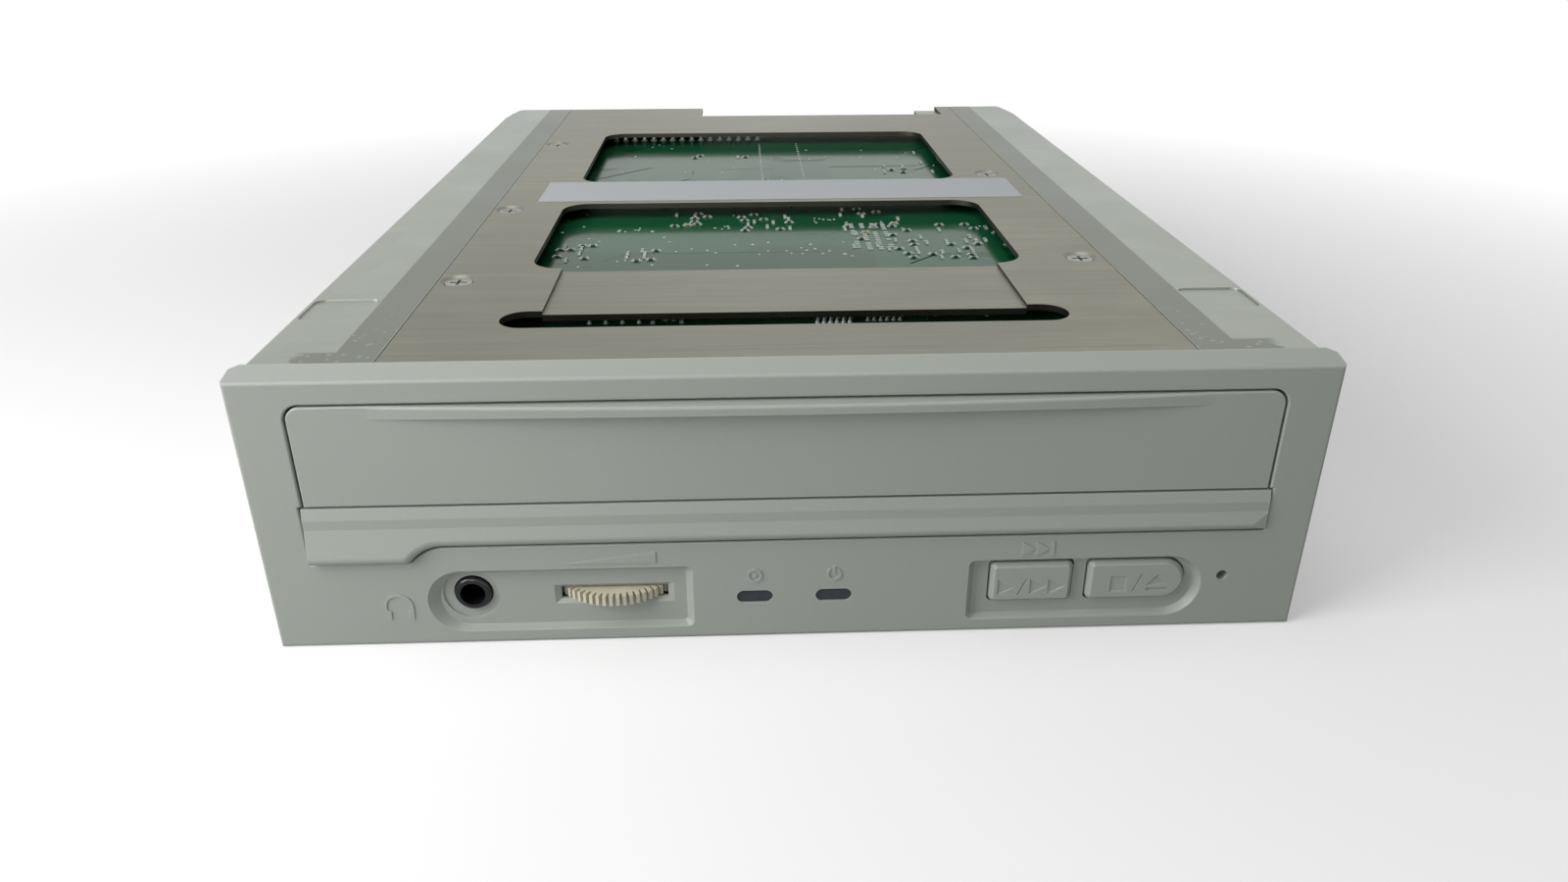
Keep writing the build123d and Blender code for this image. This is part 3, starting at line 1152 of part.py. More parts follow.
def ribbon():
    """The flat cable from the control board up the right side to the main board."""
    half = CABLE_THICK / 2
    low = PANEL_TOP + CABLE_SOCKET_LOW + half + RUNNING
    high = BOARD_BOTTOM - CABLE_SOCKET_HIGH - half - RUNNING
    y0, y1 = CABLE_LOW_Y, CABLE_HIGH_Y
    x0, x1 = CABLE_X - half, CABLE_X + half
    foot = block(CABLE_X - 10.6, x1, y0, y0 + CABLE_WIDTH, low - half, low + half)
    head = block(CABLE_X - 8.6, x1, y1, y1 + CABLE_WIDTH, high - half, high + half)
    lean = PLATFORM_TOP + 1
    rise = [
        (y0, low),
        (y0 + CABLE_WIDTH, low),
        (y0 + CABLE_WIDTH, lean),
        (y1 + CABLE_WIDTH, high),
        (y1, high),
        (y0, lean),
    ]
    return foot + head + side_prism(rise, x0, x1)


def ribbon_sockets():
    """The flat cable's two sockets, one on each board."""
    x = CABLE_X
    y0, y1 = CABLE_LOW_Y - 0.2, CABLE_LOW_Y + CABLE_WIDTH + 0.2
    lower = block(x - 16.6, x - 9.6, y0, y1, PANEL_TOP, PANEL_TOP + CABLE_SOCKET_LOW)
    y0, y1 = CABLE_HIGH_Y - 0.2, CABLE_HIGH_Y + CABLE_WIDTH + 0.2
    upper = block(x - 14.6, x - 7.6, y0, y1, BOARD_BOTTOM - CABLE_SOCKET_HIGH, BOARD_BOTTOM)
    return [lower, upper]


def switches():
    """The two small push switches behind the buttons."""
    group = []
    middle = (BUTTON_BOTTOM + BUTTON_TOP) / 2
    for x in ((PLAY_LEFT + PLAY_RIGHT) / 2, (EJECT_LEFT + EJECT_RIGHT) / 2):
        body = block(x - 3.1, x + 3.1, SWITCH_FRONT, SWITCH_FRONT + 3.7, PANEL_TOP, middle + 3.1)
        group.append(body + along_y(x, middle, SWITCH_FRONT - PLUNGER, SWITCH_FRONT + 0.5, 1.7))
    return group


def tray_gear():
    """The large loading gear: its pinion drives the tray's rack."""
    bore = post(0, 0, PLATFORM_TOP - 1, PINION_LOW + 5, SHAFT + RUNNING)
    wheel = plan_prism(gear_sketch(TRAIN_MODULE, TRAY_WHEEL_TEETH), WHEEL_LOW, PINION_LOW)
    pinion = gear_sketch(RACK_MODULE, TRAY_PINION_TEETH, math.pi)
    wheel += plan_prism(pinion, PINION_LOW - 0.1, PINION_LOW + 3.3)
    wheel += post(0, 0, PLATFORM_TOP + 0.1, WHEEL_LOW + 0.1, 4.0)
    return Pos(train_places()[0], TRAIN_Y, 0) * (wheel - bore)


def pulley(radius, low, high):
    """A grooved belt pulley on the Z axis."""
    groove = post(0, 0, GROOVE_LOW, GROOVE_HIGH, radius + 3) - post(0, 0, low, high, radius)
    return post(0, 0, low, high, radius + PULLEY_RIM) - groove


def pulley_gear():
    """The belt pulley with the pinion that turns the tray gear."""
    bore = post(0, 0, PLATFORM_TOP - 1, PINION_LOW + 5, SHAFT + RUNNING)
    half_tooth = math.pi / PULLEY_PINION_TEETH
    pinion = gear_sketch(TRAIN_MODULE, PULLEY_PINION_TEETH, math.pi + half_tooth)
    body = pulley(PULLEY_RADIUS, PULLEY_LOW, PULLEY_HIGH)
    body += plan_prism(pinion, PULLEY_HIGH - 0.1, PINION_LOW + 0.3)
    return Pos(train_places()[1], TRAIN_Y, 0) * (body - bore)


def loading_motor():
    """The can motor under the loader's platform, with its shaft."""
    x = train_places()[2]
    body = post(x, TRAIN_Y, LOADER_BOTTOM - 1.3, 12.4, MOTOR_RADIUS)
    body += post(x, TRAIN_Y, 12.3, PLATFORM_TOP - 0.4, MOTOR_BOSS)
    return body + post(x, TRAIN_Y, PLATFORM_TOP - 0.5, PULLEY_HIGH + 0.2, MOTOR_SHAFT)


def drive_belt():
    """The square belt round both pulleys."""
    outside = belt_loop(PULLEY_SPACING, MOTOR_PULLEY_RADIUS + BELT, PULLEY_RADIUS + BELT)
    inside = belt_loop(PULLEY_SPACING, MOTOR_PULLEY_RADIUS + RUNNING, PULLEY_RADIUS + RUNNING)
    loop = plan_prism(outside - inside, GROOVE_LOW + 0.2, GROOVE_HIGH - 0.2)
    return Pos(train_places()[1], TRAIN_Y, 0) * loop


def turntable():
    """The disc's seat with its centring cone, pressed on the shaft."""
    plate_bottom = TURNTABLE_TOP - TURNTABLE_SHEET
    body = post(0, SPINDLE_Y, DECK_TOP + 0.8, plate_bottom + 0.1, 4.4)
    body += post(0, SPINDLE_Y, plate_bottom, TURNTABLE_TOP, TURNTABLE_RADIUS)
    cone = Cone(CONE_RADIUS, CONE_RADIUS - 1.15, CONE_HEIGHT)
    body += Pos(0, SPINDLE_Y, TURNTABLE_TOP + CONE_HEIGHT / 2) * cone
    return body - post(0, SPINDLE_Y, DECK_TOP, TURNTABLE_TOP - 0.2, SPINDLE_SHAFT)


def sled_gear():
    """The double gear between the sled motor and the sled's rack."""
    low = DECK_TOP + RUN
    wheel = gear_sketch(SLED_TRAIN_MODULE, SLED_WHEEL_TEETH, math.pi / 2, SLED_SLACK)
    pinion = gear_sketch(SLED_MODULE, SLED_PINION_TEETH, 0.0, SLED_SLACK)
    body = plan_prism(wheel, low, low + 0.9) + plan_prism(pinion, low + 0.8, SLED_RACK_HIGH + 0.1)
    body -= post(0, 0, low - 1, SLED_RACK_HIGH + 2, SHAFT + RUNNING)
    return Pos(sled_places()[0], SLED_GEAR_Y, 0) * body


def sled_motor_pinion():
    """The small brass gear on the sled motor's shaft."""
    turn = math.pi / 2 + math.pi / SLED_MOTOR_TEETH
    teeth = gear_sketch(SLED_TRAIN_MODULE, SLED_MOTOR_TEETH, turn, SLED_SLACK)
    low = DECK_TOP + RUN
    body = plan_prism(teeth, low, low + 1.2) - post(0, 0, low - 1, low + 2, SLED_MOTOR_SHAFT + RUNNING)
    x, y = sled_places()
    return Pos(x, y, 0) * body


def sled_motor():
    """The can motor under the deck that moves the sled."""
    x, y = sled_places()
    body = post(x, y, MOTOR_BOTTOM, DECK_Z, SLED_MOTOR_RADIUS)
    body += post(x, y, DECK_Z - 0.1, DECK_TOP, MOTOR_BOSS)
    return body + post(x, y, DECK_TOP - 0.1, DECK_TOP + RUN + 1.5, SLED_MOTOR_SHAFT)


def clamp_disc():
    """The puck that presses the disc on the turntable, with a hollow for the cone."""
    puck = post(0, SPINDLE_Y, PUCK_BOTTOM, PUCK_BOTTOM + PUCK_SHEET, PUCK_RADIUS)
    puck += post(0, SPINDLE_Y, PUCK_BOTTOM + PUCK_SHEET - 0.1, KEEPER_BOTTOM, PUCK_NECK)
    return puck - post(0, SPINDLE_Y, PUCK_BOTTOM - 1, PUCK_BOTTOM + CONE_HEIGHT, CONE_RADIUS + 0.35)


parts = {}
parts["case_shell"] = case()
parts["top_cover"] = cover_plate()
parts["bottom_cover"] = bottom_plate()
parts["front_bezel"] = bezel()
parts["tray_door"] = door_panel()
parts["tray_lower_strip"] = strip_panel()
parts["disc_tray"] = tray()
parts["loader_frame"] = loader()

play_outline, eject_outline = button_outlines(0)
play_flange, eject_flange = button_outlines(FIT + FLANGE_REACH)
play_x, eject_x = (PLAY_LEFT + PLAY_RIGHT) / 2, (EJECT_LEFT + EJECT_RIGHT) / 2
parts["play_button"] = button(play_outline, play_flange, play_marks(), play_x)
parts["eject_button"] = button(eject_outline, eject_flange, eject_marks(), eject_x)
parts["volume_wheel"] = volume_wheel()
parts["volume_control"] = volume_pot()
parts["headphone_jack"] = headphone_jack()
parts["control_board"] = block(
    LEFT + 18.2, RIGHT - 14.2, PANEL_BOARD_FRONT, PANEL_BOARD_BACK, PANEL_BOARD_Z, PANEL_TOP
)
parts["push_switches"] = switches()
lamp_outline = SlotOverall(LAMP_WIDTH, LAMP_HEIGHT)
parts["lamp_lenses"] = [front_prism(Pos(x, LAMP_Z) * lamp_outline, FIT, LENS_BACK) for x in LAMP_XS]
parts["indicator_lamps"] = [
    block(x - 1.5, x + 1.5, LENS_BACK + 0.2, LENS_BACK + 3.6, PANEL_TOP, LAMP_Z + 1.4) for x in LAMP_XS
]
parts["ribbon_cable"] = ribbon()
parts["ribbon_sockets"] = ribbon_sockets()

parts["tray_gear"] = tray_gear()
parts["pulley_gear"] = pulley_gear()
small_pulley = pulley(MOTOR_PULLEY_RADIUS, PULLEY_LOW + 0.1, PULLEY_HIGH - 0.1)
small_pulley -= post(0, 0, PULLEY_LOW - 1, PULLEY_HIGH + 1, MOTOR_SHAFT + RUNNING)
parts["motor_pulley"] = Pos(train_places()[2], TRAIN_Y, 0) * small_pulley
parts["loading_motor"] = loading_motor()
parts["drive_belt"] = drive_belt()

parts["lift_frame"] = lift_frame()
parts["pickup_deck"] = deck()
parts["deck_grommets"] = grommets()
deck_screw_depth = GROMMET_TOP - RING_LOW
parts["deck_screws"] = [
    pan_screw(side * GROMMET_X, y, GROMMET_TOP, deck_screw_depth) for side in (-1, 1) for y in GROMMET_YS
]
parts["cam_plate_left"] = cam_plate(-1)
parts["cam_plate_right"] = cam_plate(1)
spindle_can = post(0, SPINDLE_Y, MOTOR_BOTTOM, DECK_Z, SPINDLE_MOTOR_RADIUS)
spindle_can += post(0, SPINDLE_Y, DECK_Z - 0.1, DECK_TOP + 0.2, SPINDLE_BOSS)
shaft_bottom = MOTOR_BOTTOM + 1.4
spindle_bore = post(0, SPINDLE_Y, shaft_bottom, DECK_TOP + 1, SPINDLE_SHAFT + RUNNING)
parts["spindle_motor"] = spindle_can - spindle_bore
parts["spindle_shaft"] = post(0, SPINDLE_Y, shaft_bottom + 0.2, TURNTABLE_TOP - 0.2, SPINDLE_SHAFT)
parts["turntable"] = turntable()
parts["laser_sled"] = sled()
parts["lens_holder"], parts["objective_lens"] = lens()
parts["guide_rods"] = [
    along_y(side * ROD_X, ROD_Z, ROD_FRONT, ROD_BACK, ROD_RADIUS) for side in (-1, 1)
]
parts["sled_gear"] = sled_gear()
parts["sled_motor_pinion"] = sled_motor_pinion()
parts["sled_motor"] = sled_motor()

parts["clamp_bridge"] = clamp_bridge()
parts["clamp_disc"] = clamp_disc()
parts["clamp_keeper"] = post(0, SPINDLE_Y, KEEPER_BOTTOM, KEEPER_BOTTOM + 1, KEEPER_RADIUS)

parts["main_board"] = main_board()
parts["firmware_chip"] = firmware_chip()
parts["board_chips"] = board_chips()
parts["board_capacitors"] = [
    post(x, y, BOARD_BOTTOM - CAPACITOR_HEIGHT, BOARD_BOTTOM, CAPACITOR_RADIUS) for x, y in CAPACITORS
]
parts["data_header"] = data_header()
data_z = BOARD_BOTTOM - DATA_HEIGHT / 2
data_pins = []
for row in (-0.5, 0.5):
    row_z = data_z + row * PIN_PITCH
    data_pins += pin_row(DATA_PINS, DATA_X, SOCKET_BACK - 8.5, SOCKET_BACK - 2, row_z)
parts["data_pins"] = data_pins
parts["power_inlet"] = power_inlet()
power_z = BOARD_BOTTOM - POWER_HEIGHT / 2
parts["power_pins"] = [
    along_y(POWER_X + step * POWER_PITCH, power_z, SOCKET_BACK - POWER_ROOM, SOCKET_BACK - 1.5, POWER_PIN)
    for step in (-1.5, -0.5, 0.5, 1.5)
]
parts["jumper_block"], parts["jumper_pins"], parts["jumper_caps"] = jumper_set()
parts["audio_socket"] = audio_socket()
audio_z = BOARD_BOTTOM - AUDIO_HEIGHT / 2
parts["audio_pins"] = pin_row(4, AUDIO_X, SOCKET_BACK - AUDIO_ROOM, SOCKET_BACK - 1.5, audio_z)

parts["cover_label"] = block(*LABEL, CASE_TOP, CASE_TOP + LABEL_THICK)
parts["cover_screws"] = [countersunk_screw(x, y, CASE_TOP, 2.7) for x, y in COVER_SCREWS]
parts["bottom_screws"] = [countersunk_screw(x, y, CASE_BOTTOM, 6.0, up=False) for x, y in BOTTOM_SCREWS]
inner_screws = [pan_screw(x, y, BOARD_TOP, SCREW_DEPTH) for x, y in board_screw_places()]
bridge_top = BRIDGE_Z + BRIDGE_SHEET
for x in (-BRIDGE_SCREW_X, BRIDGE_SCREW_X):
    inner_screws.append(pan_screw(x, SPINDLE_Y, bridge_top, SCREW_DEPTH))
parts["inner_screws"] = inner_screws

os.makedirs("parts", exist_ok=True)
home = Pos(0, FACE_Y, 0)
for name, shape in parts.items():
    if isinstance(shape, list):
        shape = Compound([home * piece.solid() for piece in shape])
    else:
        shape = home * shape
    export_step(shape, "parts/" + name + ".step")
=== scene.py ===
import math
import random

import bmesh
import bpy
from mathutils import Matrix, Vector


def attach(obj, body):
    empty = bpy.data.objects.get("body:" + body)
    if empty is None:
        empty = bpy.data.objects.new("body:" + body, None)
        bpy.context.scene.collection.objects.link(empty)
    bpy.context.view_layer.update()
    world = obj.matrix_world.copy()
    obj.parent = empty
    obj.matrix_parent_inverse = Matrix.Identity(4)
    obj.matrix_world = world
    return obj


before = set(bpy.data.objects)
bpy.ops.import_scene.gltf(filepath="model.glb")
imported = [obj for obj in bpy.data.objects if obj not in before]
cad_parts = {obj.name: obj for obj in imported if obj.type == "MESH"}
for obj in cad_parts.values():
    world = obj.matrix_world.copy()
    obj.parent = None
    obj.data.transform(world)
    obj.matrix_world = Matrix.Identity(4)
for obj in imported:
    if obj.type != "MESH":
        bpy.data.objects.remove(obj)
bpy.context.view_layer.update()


# The case: one sheet of galvanised steel, stamped and folded, with its flanges turned in over the
# top and the floor. The bottom cover, the pickup's deck and the clamp's bridge are pressed from the
# same coil, so they share its finish.
MM = 0.001


def linear(code):
    """The linear colour of an sRGB hex code."""
    parts = [int(code[i:i + 2], 16) / 255 for i in (0, 2, 4)]
    return tuple(p / 12.92 if p <= 0.04045 else ((p + 0.055) / 1.055) ** 2.4 for p in parts) + (1.0,)


def material(name):
    """A new material's node tree, its object coordinates and its surface shader."""
    made = bpy.data.materials.new(name)
    made.use_nodes = True
    tree = made.node_tree
    tree.nodes.clear()
    place = tree.nodes.new("ShaderNodeTexCoord")
    shader = tree.nodes.new("ShaderNodeBsdfPrincipled")
    output = tree.nodes.new("ShaderNodeOutputMaterial")
    tree.links.new(shader.outputs[0], output.inputs["Surface"])
    return made, tree, place.outputs["Object"], shader


def add(tree, kind, settings, links=None):
    """Adds one node. A setting named with a capital or a number is a socket's, others are the node's."""
    node = tree.nodes.new("ShaderNode" + kind)
    for name, value in settings.items():
        if isinstance(name, int) or name[0].isupper():
            node.inputs[name].default_value = value
        else:
            setattr(node, name, value)
    for name, source in (links or {}).items():
        tree.links.new(source, node.inputs[name])
    return node


def finish(node_name, made):
    """Gives a CAD node its material."""
    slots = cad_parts[node_name].data.materials
    slots.clear()
    slots.append(made)


def worn_edge(tree, reach, begins, full, most):
    """Nothing on a flat stretch, and up to most within reach of an edge. begins and full are how far
    the rounded edge may turn away, as a cosine, before the wear begins and where it is full."""
    rounded = add(tree, "Bevel", {"samples": 4, "Radius": reach})
    facing = add(tree, "NewGeometry", {})
    turned = add(tree, "VectorMath", {"operation": "DOT_PRODUCT"},
                 {0: rounded.outputs[0], 1: facing.outputs["Normal"]})
    return add(tree, "MapRange", {"From Min": begins, "From Max": full, "To Max": most},
               {"Value": turned.outputs["Value"]})


# galvanised steel: a dull pale grey metal with soft spangles about 9 mm across and fine roller lines
galvanised, tree, place, shader = material("galvanised_steel_sheet")
spangle = add(tree, "TexVoronoi", {"Scale": 1000 / 9, "Randomness": 1.0}, {"Vector": place})
tone = add(tree, "RGBToBW", {}, {"Color": spangle.outputs["Color"]})
cloud = add(tree, "TexNoise", {"Scale": 1000 / 28, "Detail": 4.0}, {"Vector": place})
stretch = add(tree, "Mapping", {"Scale": (1.0, 0.02, 1.0)}, {"Vector": place})
roller = add(tree, "TexNoise", {"Scale": 1000 / 0.5, "Detail": 2.0}, {"Vector": stretch.outputs[0]})
shade = add(tree, "Mix", {"data_type": "RGBA", 6: linear("A3A8A0"), 7: linear("959A92")},
            {0: cloud.outputs["Fac"]})
shade = add(tree, "Mix", {"data_type": "RGBA", "blend_type": "MULTIPLY", 0: 0.08},
            {6: shade.outputs[2], 7: tone.outputs[0]})
# a film was peeled from a band beside the cover, 6 mm wide, and along the bezel: it is a shade darker
BAND_SIDE = 61.7 * MM
CORNER_SIDE = 69.5 * MM
CORNER_BACK = -93.0 * MM
BAND_BOTTOM = 41.5 * MM
split = add(tree, "SeparateXYZ", {}, {"Vector": place})
across = add(tree, "Math", {"operation": "ABSOLUTE"}, {0: split.outputs["X"]})
beside = add(tree, "MapRange", {"From Min": BAND_SIDE, "From Max": BAND_SIDE + 0.3 * MM,
                                "To Min": 1.0, "To Max": 0.0}, {"Value": across.outputs[0]})
torn = add(tree, "TexNoise", {"Scale": 1000 / 2.2, "Detail": 3.0}, {"Vector": place})
ragged = add(tree, "Math", {"operation": "MULTIPLY_ADD", 1: 6 * MM},
             {0: torn.outputs["Fac"], 2: across.outputs[0]})
front = add(tree, "MapRange", {"From Min": CORNER_BACK, "From Max": CORNER_BACK + 0.8 * MM,
                               "To Min": 1.0, "To Max": 0.0}, {"Value": split.outputs["Y"]})
corner = add(tree, "MapRange", {"From Min": CORNER_SIDE, "From Max": CORNER_SIDE + 1.5 * MM,
                                "To Min": 1.0, "To Max": 0.0}, {"Value": ragged.outputs[0]})
corner = add(tree, "Math", {"operation": "MULTIPLY"}, {0: front.outputs[0], 1: corner.outputs[0]})
band = add(tree, "Math", {"operation": "MAXIMUM"}, {0: beside.outputs[0], 1: corner.outputs[0]})
high = add(tree, "Math", {"operation": "GREATER_THAN", 1: BAND_BOTTOM}, {0: split.outputs["Z"]})
band = add(tree, "Math", {"operation": "MULTIPLY"}, {0: band.outputs[0], 1: high.outputs[0]})
shade = add(tree, "Mix", {"data_type": "RGBA", 7: linear("777C73")},
            {0: band.outputs[0], 6: shade.outputs[2]})
# specks of its glue, about 0.7 mm, stay on the band where it turns the corner
glue = add(tree, "TexVoronoi", {"Scale": 1000 / 1.6, "Randomness": 1.0}, {"Vector": place})
speck = add(tree, "MapRange", {"From Min": 0.16, "From Max": 0.24, "To Min": 0.55, "To Max": 0.0},
            {"Value": glue.outputs["Distance"]})
near = add(tree, "MapRange", {"From Min": CORNER_BACK - 2 * MM, "From Max": CORNER_BACK + 23 * MM,
                              "To Min": 1.0, "To Max": 0.0}, {"Value": split.outputs["Y"]})
near = add(tree, "Math", {"operation": "MULTIPLY"}, {0: near.outputs[0], 1: torn.outputs["Fac"]})
near = add(tree, "Math", {"operation": "MULTIPLY"}, {0: near.outputs[0], 1: speck.outputs[0]})
near = add(tree, "Math", {"operation": "MULTIPLY"}, {0: near.outputs[0], 1: band.outputs[0]})
shade = add(tree, "Mix", {"data_type": "RGBA", 7: linear("C2C6BE")},
            {0: near.outputs[0], 6: shade.outputs[2]})
# the zinc is rubbed bright along the sheared and folded edges, 0.4 mm in
edge = worn_edge(tree, 0.4 * MM, 0.98, 0.80, 0.5)
shade = add(tree, "Mix", {"data_type": "RGBA", 7: linear("C6CAC3")},
            {0: edge.outputs[0], 6: shade.outputs[2]})
tree.links.new(shade.outputs[2], shader.inputs["Base Color"])
shader.inputs["Metallic"].default_value = 1.0
rough = add(tree, "MapRange", {"To Min": 0.34, "To Max": 0.52}, {"Value": cloud.outputs["Fac"]})
tree.links.new(rough.outputs[0], shader.inputs["Roughness"])
relief = add(tree, "Bump", {"Strength": 0.12, "Distance": 0.00002}, {"Height": roller.outputs["Fac"]})
tree.links.new(relief.outputs[0], shader.inputs["Normal"])
for name in ("case_shell", "bottom_cover", "pickup_deck", "clamp_bridge"):
    finish(name, galvanised)


# The top cover: a sheet of passivated steel, brushed across the drive and screwed down flush between
# the flanges. Two windows and a slot leave the solder side of the main board open.
# brushed steel under a yellowish passivation: brown-grey, streaked along X, blotched where it was held
brushed, tree, place, shader = material("brushed_passivated_steel")
stretch = add(tree, "Mapping", {"Scale": (0.012, 1.0, 1.0)}, {"Vector": place})
# the real scratches are 0.05 mm wide and are drawn 0.3 mm wide, so that they show
scratch = add(tree, "TexNoise", {"Scale": 1000 / 0.3, "Detail": 3.0, "Roughness": 0.6},
              {"Vector": stretch.outputs[0]})
streak = add(tree, "Mapping", {"Scale": (0.05, 1.0, 1.0)}, {"Vector": place})
pull = add(tree, "TexNoise", {"Scale": 1000 / 2.5, "Detail": 3.0}, {"Vector": streak.outputs[0]})
blotch = add(tree, "TexNoise", {"Scale": 1000 / 14, "Detail": 5.0, "Roughness": 0.62}, {"Vector": place})
cloud = add(tree, "TexNoise", {"Scale": 1000 / 60, "Detail": 2.0}, {"Vector": place})
shade = add(tree, "Mix", {"data_type": "RGBA", 6: linear("848476"), 7: linear("76776A")},
            {0: cloud.outputs["Fac"]})
patch = add(tree, "MapRange", {"From Min": 0.42, "From Max": 0.66, "To Max": 0.6},
            {"Value": blotch.outputs["Fac"]})
shade = add(tree, "Mix", {"data_type": "RGBA", 7: linear("8A897D")},
            {0: patch.outputs[0], 6: shade.outputs[2]})
line = add(tree, "MapRange", {"From Min": 0.35, "From Max": 0.7, "To Min": 0.0, "To Max": 0.42},
           {"Value": scratch.outputs["Fac"]})
shade = add(tree, "Mix", {"data_type": "RGBA", 7: linear("605D50")},
            {0: line.outputs[0], 6: shade.outputs[2]})
line = add(tree, "MapRange", {"From Min": 0.5, "From Max": 0.72, "To Min": 0.0, "To Max": 0.14},
           {"Value": pull.outputs["Fac"]})
shade = add(tree, "Mix", {"data_type": "RGBA", 7: linear("9A988B")},
            {0: line.outputs[0], 6: shade.outputs[2]})
# the panel behind the slot was pressed down after brushing, which left it greyer and smoother
PRESSED_TOP = 42.0 * MM
split = add(tree, "SeparateXYZ", {}, {"Vector": place})
pressed = add(tree, "MapRange", {"From Min": PRESSED_TOP + 0.05 * MM, "From Max": PRESSED_TOP - 0.05 * MM},
              {"Value": split.outputs["Z"]})
upper = add(tree, "Math", {"operation": "GREATER_THAN", 1: PRESSED_TOP - 0.4 * MM}, {0: split.outputs["Z"]})
pressed = add(tree, "Math", {"operation": "MULTIPLY"}, {0: pressed.outputs[0], 1: upper.outputs[0]})
pressed = add(tree, "Math", {"operation": "MULTIPLY", 1: 0.7}, {0: pressed.outputs[0]})
shade = add(tree, "Mix", {"data_type": "RGBA", 7: linear("7F8079")},
            {0: pressed.outputs[0], 6: shade.outputs[2]})
# the punched edges of the windows and the slot are torn and dull; their rim is rubbed bright, 0.3 mm in, and
# their faces carry painted shade
edge = worn_edge(tree, 0.3 * MM, 0.98, 0.80, 0.3)
shade = add(tree, "Mix", {"data_type": "RGBA", 7: linear("B4B5AC")},
            {0: edge.outputs[0], 6: shade.outputs[2]})
# upright faces are darker: partly the dull torn metal of the punched edges, partly painted shade keyed to how
# each face is turned
facing = add(tree, "NewGeometry", {})
facing_up_for_shade = add(tree, "SeparateXYZ", {}, {"Vector": facing.outputs["Normal"]})
facing_up_for_shade = add(tree, "Math", {"operation": "ABSOLUTE"}, {0: facing_up_for_shade.outputs["Z"]})
torn = add(tree, "MapRange", {"From Min": 0.3, "From Max": 0.6, "To Min": 0.8, "To Max": 0.0},
           {"Value": facing_up_for_shade.outputs[0]})
shade = add(tree, "Mix", {"data_type": "RGBA", 7: linear("3C3C37")},
            {0: torn.outputs[0], 6: shade.outputs[2]})
tree.links.new(shade.outputs[2], shader.inputs["Base Color"])
shader.inputs["Metallic"].default_value = 1.0
shader.inputs["Anisotropic"].default_value = 0.5
rough = add(tree, "MapRange", {"To Min": 0.32, "To Max": 0.50}, {"Value": blotch.outputs["Fac"]})
tree.links.new(rough.outputs[0], shader.inputs["Roughness"])
relief = add(tree, "Bump", {"Strength": 0.25, "Distance": 0.00002}, {"Height": scratch.outputs["Fac"]})
tree.links.new(relief.outputs[0], shader.inputs["Normal"])
finish("top_cover", brushed)


# The label across the cover: a strip of coated paper, stuck flat between the two windows and left
# blank. The paper's fibres show as a faint mottle.
paper, tree, place, shader = material("coated_label_paper")
fibre = add(tree, "TexNoise", {"Scale": 1000 / 0.8, "Detail": 4.0}, {"Vector": place})
shade = add(tree, "Mix", {"data_type": "RGBA", 6: linear("A6AAAD"), 7: linear("B2B6B9")},
            {0: fibre.outputs["Fac"]})
tree.links.new(shade.outputs[2], shader.inputs["Base Color"])
rough = add(tree, "MapRange", {"To Min": 0.45, "To Max": 0.62}, {"Value": fibre.outputs["Fac"]})
tree.links.new(rough.outputs[0], shader.inputs["Roughness"])
shader.inputs["IOR"].default_value = 1.5
relief = add(tree, "Bump", {"Strength": 0.15, "Distance": 0.00003}, {"Height": fibre.outputs["Fac"]})
tree.links.new(relief.outputs[0], shader.inputs["Normal"])
finish("cover_label", paper)


# The screws: cross-recess machine screws, cold headed and zinc plated. They hold the cover, the
# floor, the boards and the deck; the shafts, guide rods and the clamp's keeper are bright steel too.
# zinc plate: a grey metal that has gone a little dull, in fine patches a quarter of a millimetre wide
plated, tree, place, shader = material("dulled_zinc_plated_steel")
grit = add(tree, "TexNoise", {"Scale": 1000 / 0.25, "Detail": 3.0}, {"Vector": place})
shade = add(tree, "Mix", {"data_type": "RGBA", 6: linear("A3A5A2"), 7: linear("898B87")},
            {0: grit.outputs["Fac"]})
tree.links.new(shade.outputs[2], shader.inputs["Base Color"])
shader.inputs["Metallic"].default_value = 1.0
rough = add(tree, "MapRange", {"To Min": 0.28, "To Max": 0.44}, {"Value": grit.outputs["Fac"]})
tree.links.new(rough.outputs[0], shader.inputs["Roughness"])
relief = add(tree, "Bump", {"Strength": 0.1, "Distance": 0.00002}, {"Height": grit.outputs["Fac"]})
tree.links.new(relief.outputs[0], shader.inputs["Normal"])
for name in ("cover_screws", "bottom_screws", "inner_screws", "deck_screws", "spindle_shaft", "guide_rods",
             "clamp_keeper"):
    finish(name, plated)


# The bezel: injection moulded ABS, pale warm grey with a spark-eroded skin, clipped to the case. The
# tray's door, the stepped strip under it and the two buttons are moulded from the same resin.
# moulded ABS: a satin plastic whose mould grain is 0.3 mm, with a slow drift of tone where it has aged
moulded, tree, place, shader = material("spark_grained_abs")
grain = add(tree, "TexNoise", {"Scale": 1000 / 0.3, "Detail": 2.0, "Roughness": 0.6}, {"Vector": place})
drift = add(tree, "TexNoise", {"Scale": 1000 / 50, "Detail": 2.0}, {"Vector": place})
shade = add(tree, "Mix", {"data_type": "RGBA", 6: linear("A0A59E"), 7: linear("999F98")},
            {0: drift.outputs["Fac"]})
pit = add(tree, "MapRange", {"From Min": 0.35, "From Max": 0.65, "To Min": 0.0, "To Max": 0.25},
          {"Value": grain.outputs["Fac"]})
shade = add(tree, "Mix", {"data_type": "RGBA", 7: linear("92978F")},
            {0: pit.outputs[0], 6: shade.outputs[2]})
